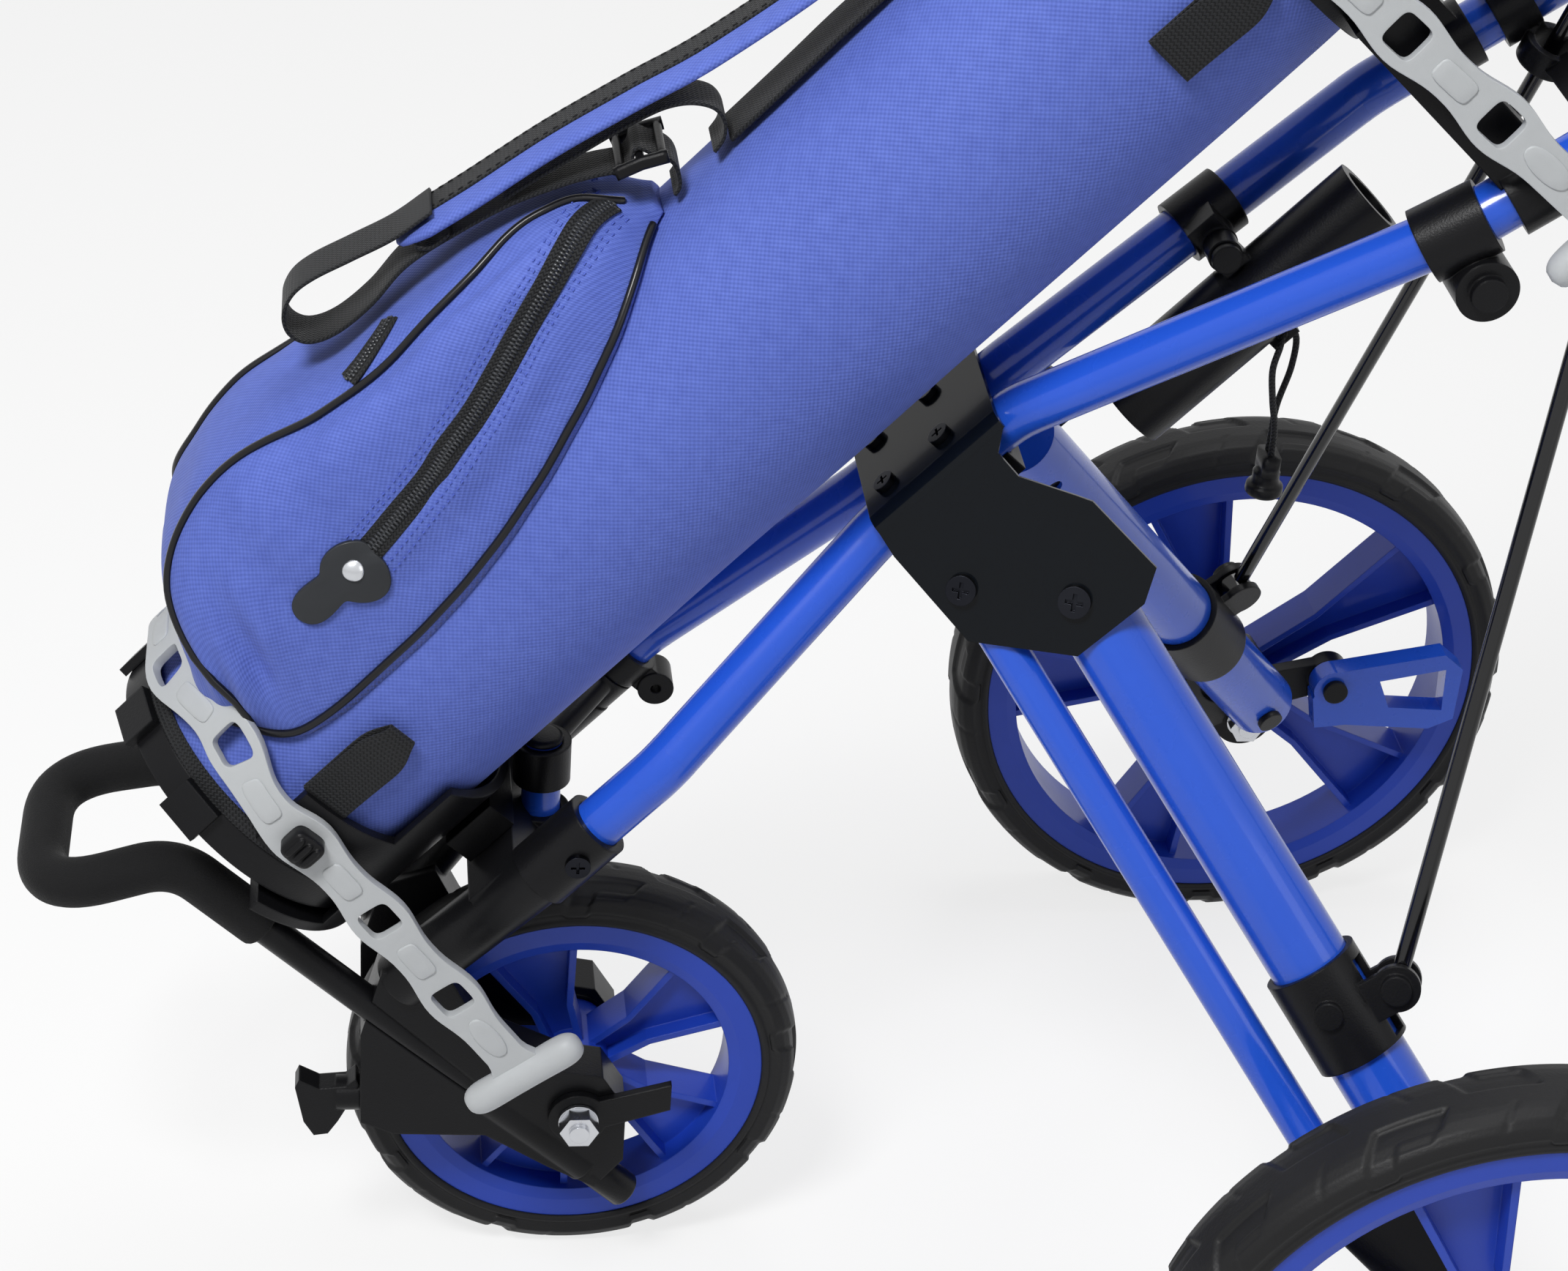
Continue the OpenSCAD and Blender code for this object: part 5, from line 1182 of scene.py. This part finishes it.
@dataclass
class Straps(Maker):
    """Both rubber straps and the ribbed caps of their pegs."""

    def caps(self) -> Piece:
        """The square peg caps, each with three raised ribs."""
        b = Builder()
        cap, rib = oval(41, 8.6, 8.0, 0.5, 0.5), oval(41, 1.5, 6.2, 1.0, 0.5)
        for peg in (LOWER_PEG, UPPER_PEG):
            for side in (1.0, -1.0):
                def lay(u: Array, v: Array, h: Array, way: float = side, s: float = peg) -> Array:
                    """Places a cap's own (u, v, height) on its side of the bag."""
                    return self.frame.place(-2 + u, way * h, s + v)

                b.grid(plate(cap, 85.0, 94.4, 1.2, lay))
                for across in (-4.6, 0.0, 4.6):
                    b.grid(plate(rib + np.array([across, 0.0]), 93.4, 95.8, 0.6, lay))
        return b.make("peg_caps")

    def build(self) -> list[Piece]:
        """Makes the straps and stands them for their solids."""
        made = []
        for name, node, hook, tail, lean, out, climb in (
                ("lower_ladder", "lower_strap", LOWER_PEG, 172.0, 10.7, 1.5, 11.0),
                ("upper_ladder", "upper_strap", UPPER_PEG, 183.0, -4.0, 5.5, 0.0)):
            strap = LadderStrap(self.frame, name, hook, tail, lean, out, climb)
            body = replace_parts(self.dress(strap.body(), "strap_rubber"), node)
            made += [body, self.dress(strap.raised(), "strap_rubber")]
        made.append(self.dress(self.caps(), "casting_black"))
        return [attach(p, "cart") for p in made]


# --- wheels ----------------------------------------------------------------------------
@dataclass
class Wheel(Maker):
    """A wheel's treaded tyre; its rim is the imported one.

    Args:
        name: which wheel.
        radius: radius over the tread, in millimetres.
        width: width of the tyre.
        blocks: number of tread blocks round it.
        depth: height of the tyre's section.
    """

    name: str
    radius: float
    width: float
    blocks: int
    depth: float = 19.0

    def centre(self) -> Array:
        """The middle of the wheel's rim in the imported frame."""
        low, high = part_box(self.name + "_rim")
        return (np.array(low) + np.array(high)) / 2

    def tyre(self) -> Piece:
        """The tyre: a closed section round the axle whose tread drops in slanted, stepped hollows."""
        r, s = self.radius, self.width / 2
        rim = r - self.depth
        corners = np.array([[rim - 0.2, -s + 1.5], [rim + 1.6, -s], [rim + 3.2, -s + 0.2],
                            [rim + 4.2, -s + 1.4], [r - 12, -s + 0.8], [r - 9.5, -s - 0.3],
                            [r - 5.0, -s + 1.8], [r - 2.0, -s + 5.0], [r - 0.4, -s + 10],
                            [r + 0.1, -s + 14], [r + 0.2, 0.0]])
        fine = even(np.vstack([corners, corners[-2::-1] * np.array([1, -1])]), 84)
        inner = np.array([[rim - 0.2, fine[-1, 1] - 1], [rim - 0.6, 0.0], [rim - 0.2, fine[0, 1] + 1]])
        profile = np.vstack([fine, inner, fine[0]])

        def cut(a: Array, row: Array) -> Array:
            """Lowers the tread inside an L-shaped hollow and its ledge, once a block on each side."""
            rad, across = profile[row, 0], profile[row, 1] / s
            off = np.abs(across)
            lap = a * self.blocks / FULL_TURN + 0.5 * (across > 0) - 0.16 * off
            lap = lap - np.floor(lap)
            # hollows as (from, to, softness) round the wheel and out from its middle; depths in mm
            bay = window(lap, 0.08, 0.46, 0.016) * window(off, 0.14, 0.60, 0.035)
            leg = window(lap, 0.30, 0.46, 0.016) * window(off, 0.50, 1.06, 0.035)
            ledge = window(lap, 0.10, 0.32, 0.016) * window(off, 0.56, 0.80, 0.03)
            line = window(lap, 0.705, 0.735, 0.010) * window(off, 0.30, 1.06, 0.04)
            drop = np.maximum.reduce([bay * 2.1, leg * 2.1, ledge * 1.0, line * 0.5]) * MM
            return -drop * step(rad, r - 13.5, r - 12)

        steps_per_block = 64
        grid = lathe(profile * MM, self.centre(), LEFT, UP, self.blocks * steps_per_block, cut)
        grid[:, -1] = grid[:, 0]
        return Builder().grid(grid).make(self.name + "_tread")

    def build(self) -> list[Piece]:
        """Makes the tyre and stands it for its solid."""
        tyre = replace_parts(self.dress(self.tyre(), "tyre_rubber"), self.name + "_tyre")
        return [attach(tyre, self.name + "_wheel")]


# --- foam, cord and handle -------------------------------------------------------------
@dataclass
class SoftParts(Maker):
    """The loop's foam sleeve and caps, the bungee and the handle's grip.

    Args:
        foot: the left lower end of the front loop, in millimetres from the axle.
        knee: the loop's left bend.
        front: the loop's left front corner.
    """

    foot: tuple[float, float, float] = (-9.0, 38.0, 72.0)
    knee: tuple[float, float, float] = (195.0, 42.0, 272.0)
    front: tuple[float, float, float] = (258.0, 48.0, 257.0)

    def foam(self) -> Piece:
        """The foam sleeve: a round section swept round the loop from the last fifth of each side."""
        foot, knee, front = (np.array(p) for p in (self.foot, self.knee, self.front))
        start = foot + (knee - foot) * 0.80
        flip = np.array([1.0, -1.0, 1.0])
        corners = [start, knee, front, front * flip, knee * flip, start * flip]
        line = rounded(self.frame.cart(corners), 30 * MM, 190)
        return Builder().grid(tube(line, 12 * MM, 24, 0.3)).make("loop_sleeve")

    def caps(self) -> Piece:
        """The caps on the loop's two lower ends and the plug on the centre post."""
        b = Builder()
        foot, knee = np.array(self.foot), np.array(self.knee)
        way = unit(knee - foot)
        for side in (1.0, -1.0):
            flip = np.array([1.0, side, 1.0])
            line = self.frame.cart([(foot - way * 25) * flip, (foot + way * 3) * flip])
            b.grid(tube(line, 9.4 * MM, 28, 0.25))
        top = self.frame.cart([[21.0, 0, 310.6], [21.0, 0, 314.6]])
        b.grid(tube(top, 10.4 * MM, 32, 0.3))
        return b.make("loop_plugs")

    def grip(self) -> Piece:
        """The handle's foam grip: a round sleeve with shallow finger grooves."""
        low, high = (np.array(c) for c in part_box("handle_grip"))
        mid = (low + high) / 2
        half = (high[1] - low[1]) / 2
        radius = (high[2] - low[2]) / 2
        y = np.linspace(-half, half, 90)
        grooves = 0.03 * (0.5 + 0.5 * np.cos(y / half * math.pi * 9))
        wave = 1 - grooves - 0.35 * hump(np.abs(y), half, 0.003)
        line = mid + y[:, None] * LEFT
        sleeve = sweep(line, *turned_frames(line, UP), oval(33, radius, radius), wave)
        return Builder().grid(sleeve).make("grip_sleeve")

    def toggle(self, foot: Array) -> Piece:
        """The cord's moulded end: a bell that stands on the given place, with a square neck."""
        forward = np.array([1.0, 0.0, 0.0])
        bell = np.array([[0, 0], [7.6, 0], [9, 1.4], [9.1, 3], [8.8, 5.4], [7, 6.8], [6.5, 9],
                         [6.6, 12.2], [5.4, 13.6], [0, 13.8]]) * MM
        neck = foot + np.array([[0, 0, 12.5], [0, 0, 22.2]]) * MM
        b = Builder().grid(lathe(even(bell, 40), foot, UP, forward, 40))
        b.grid(sweep(neck, np.array([forward] * 2), np.array([LEFT] * 2), round_box(16, 9, 2.6) * MM))
        return b.make("bungee_end")

    def bungee(self) -> tuple[Piece, Piece]:
        """The elastic loop from the umbrella holder's eye and the moulded end that joins its runs."""
        eye = self.frame.place(-191.0, -18.0, 337.0)
        route = np.array([[-4, 3, -64], [-3, 4, -48], [1, 7, -32], [4, 9, -15], [1.5, 6.5, -4],
                          [0, 2, 0], [0, -2, 0], [-2, -6.5, -2], [-10, -9, -6], [-10, -8, -22],
                          [-5, -5, -42], [-4, -3, -64]], float)
        line = eye + smooth(route, 80) * MM
        cord = Builder().grid(tube(line, 1.6 * MM, 12, 0.3)).make("bungee_loop")
        long = float(travelled(line)[-1])
        toggle = self.toggle(eye + np.array([-4.0, 0.0, -86.0]) * MM)
        return cord, toggle

    def build(self) -> list[Piece]:
        """Makes the pieces, stands them for their solids and lets each ride on its body."""
        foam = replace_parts(self.dress(self.foam(), "foam_black"), "loop_foam")
        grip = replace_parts(self.dress(self.grip(), "foam_black"), "handle_grip")
        cord, toggle = self.bungee()
        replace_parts(self.dress(cord, "webbing_black"), "bungee_cord")
        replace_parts(self.dress(toggle, "casting_black"), "bungee_toggle")
        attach(grip, "handle")
        caps = self.dress(self.caps(), "casting_black")
        for piece in (foam, caps):
            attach(piece, "cart")
        for piece in (cord, toggle):
            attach(piece, "umbrella")
        return [foam, caps, grip, cord, toggle]


# --- stage -----------------------------------------------------------------------------
@dataclass
class Studio:
    """The camera, the pale floor and the soft lamps."""

    target: tuple[float, float, float] = (0.16105, 0.0, 0.3703)
    azimuth: float = 171.42
    elevation: float = 32.7
    roll: float = 4.6
    distance: float = 1.5915
    lens: float = 76.86

    def camera(self) -> None:
        """Puts the camera at the viewing angle, rolled about its own axis."""
        a, e, r = (math.radians(v) for v in (self.azimuth, self.elevation, self.roll))
        back = Vector((math.sin(a) * math.cos(e), -math.cos(a) * math.cos(e), math.sin(e)))
        right = Vector((0, 0, 1)).cross(back).normalized()
        up = back.cross(right)
        right, up = right * math.cos(r) + up * math.sin(r), up * math.cos(r) - right * math.sin(r)
        data = bpy.data.cameras.new("view")
        data.lens, data.sensor_width, data.sensor_fit = self.lens, 36.0, "HORIZONTAL"
        data.clip_start, data.clip_end = 0.05, 120.0
        cam = bpy.data.objects.new("view", data)
        bpy.context.scene.collection.objects.link(cam)
        place = Vector(self.target) + back * self.distance
        cam.matrix_world = Matrix((
            (right.x, up.x, back.x, place.x), (right.y, up.y, back.y, place.y),
            (right.z, up.z, back.z, place.z), (0, 0, 0, 1)))
        bpy.context.scene.camera = cam

    def floor(self) -> None:
        """A wide pale floor that shows nearly white and keeps a faint shadow."""
        k, below = np.linspace(-40, 40, 3), -0.0004
        x, y = np.meshgrid(k, k, indexing="ij")
        grid = np.stack([x, y, np.full_like(x, below)], axis=-1)
        obj = Builder().grid(grid, closed=False).make("floor")
        if obj.data.polygons[0].normal.z < 0:
            obj.data.flip_normals()
        material = bpy.data.materials.new("pale_floor")
        material.use_nodes = True
        material.node_tree.nodes.clear()
        t = Tree(material.node_tree)
        plain = t.add("ShaderNodeBsdfDiffuse", {"Color": (0.9, 0.9, 0.9, 1)})
        bright = t.add("ShaderNodeEmission", {"Color": (1, 1, 1, 1), "Strength": 1.0})
        glow = t.seen_white(0.78)
        mix = t.add("ShaderNodeMixShader", {0: glow, 1: plain.outputs[0], 2: bright.outputs[0]})
        t.add("ShaderNodeOutputMaterial", {"Surface": mix.outputs[0]})
        obj.data.materials.append(material)

    def lamp(self, name: str, place: tuple[float, float, float], size: float, power: float) -> None:
        """A square soft lamp that faces the object."""
        data = bpy.data.lights.new(name, "AREA")
        data.energy, data.size, data.shape = power, size, "SQUARE"
        lamp = bpy.data.objects.new(name, data)
        bpy.context.scene.collection.objects.link(lamp)
        lamp.location = place
        way = Vector(self.target) - Vector(place)
        lamp.rotation_euler = way.to_track_quat("-Z", "Y").to_euler()

    def build(self) -> None:
        """Makes the camera, floor, lamps and world."""
        self.camera()
        self.floor()
        self.lamp("key", (1.1, 1.3, 2.6), 0.7, 64)
        self.lamp("fill", (-1.9, 2.0, 1.3), 1.2, 7)
        self.lamp("top", (-0.2, -0.5, 2.8), 1.2, 22)
        scene = bpy.context.scene
        scene.view_settings.view_transform = "Standard"
        world = bpy.data.worlds.new("studio")
        scene.world = world
        world.use_nodes = True
        world.node_tree.nodes.clear()
        t = Tree(world.node_tree)
        dim = t.add("ShaderNodeBackground", {"Color": (1, 1, 1, 1), "Strength": 0.15})
        bright = t.add("ShaderNodeBackground", {"Color": (1, 1, 1, 1), "Strength": 1.0})
        mix = t.add("ShaderNodeMixShader", {0: t.seen_white(), 1: dim.outputs[0], 2: bright.outputs[0]})
        t.add("ShaderNodeOutputWorld", {"Surface": mix.outputs[0]})


def main() -> None:
    """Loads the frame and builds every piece."""
    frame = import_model()
    low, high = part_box("front_axle")
    bag = BagFrame(axle_x=(low[0] + high[0]) / 2)
    wardrobe = Wardrobe()
    Studio().build()
    for finish, nodes in CAD_FINISHES.items():
        for node in nodes:
            wardrobe.dress(frame["nodes"][node], finish)
    makers = [Bag(bag, wardrobe), Pocket(bag, wardrobe), CarryStrap(bag, wardrobe),
              Straps(bag, wardrobe), SoftParts(bag, wardrobe),
              Wheel(bag, wardrobe, "front", 115, 38, 9), Wheel(bag, wardrobe, "left", 163, 44, 12),
              Wheel(bag, wardrobe, "right", 163, 44, 12)]
    for maker in makers:
        for piece in maker.build():
            LOG.info("%s: %d faces", piece.name, len(piece.data.polygons))
    bpy.context.view_layer.update()


if __name__ == "__main__":
    logging.basicConfig(level=logging.INFO, format="%(message)s")
    main()
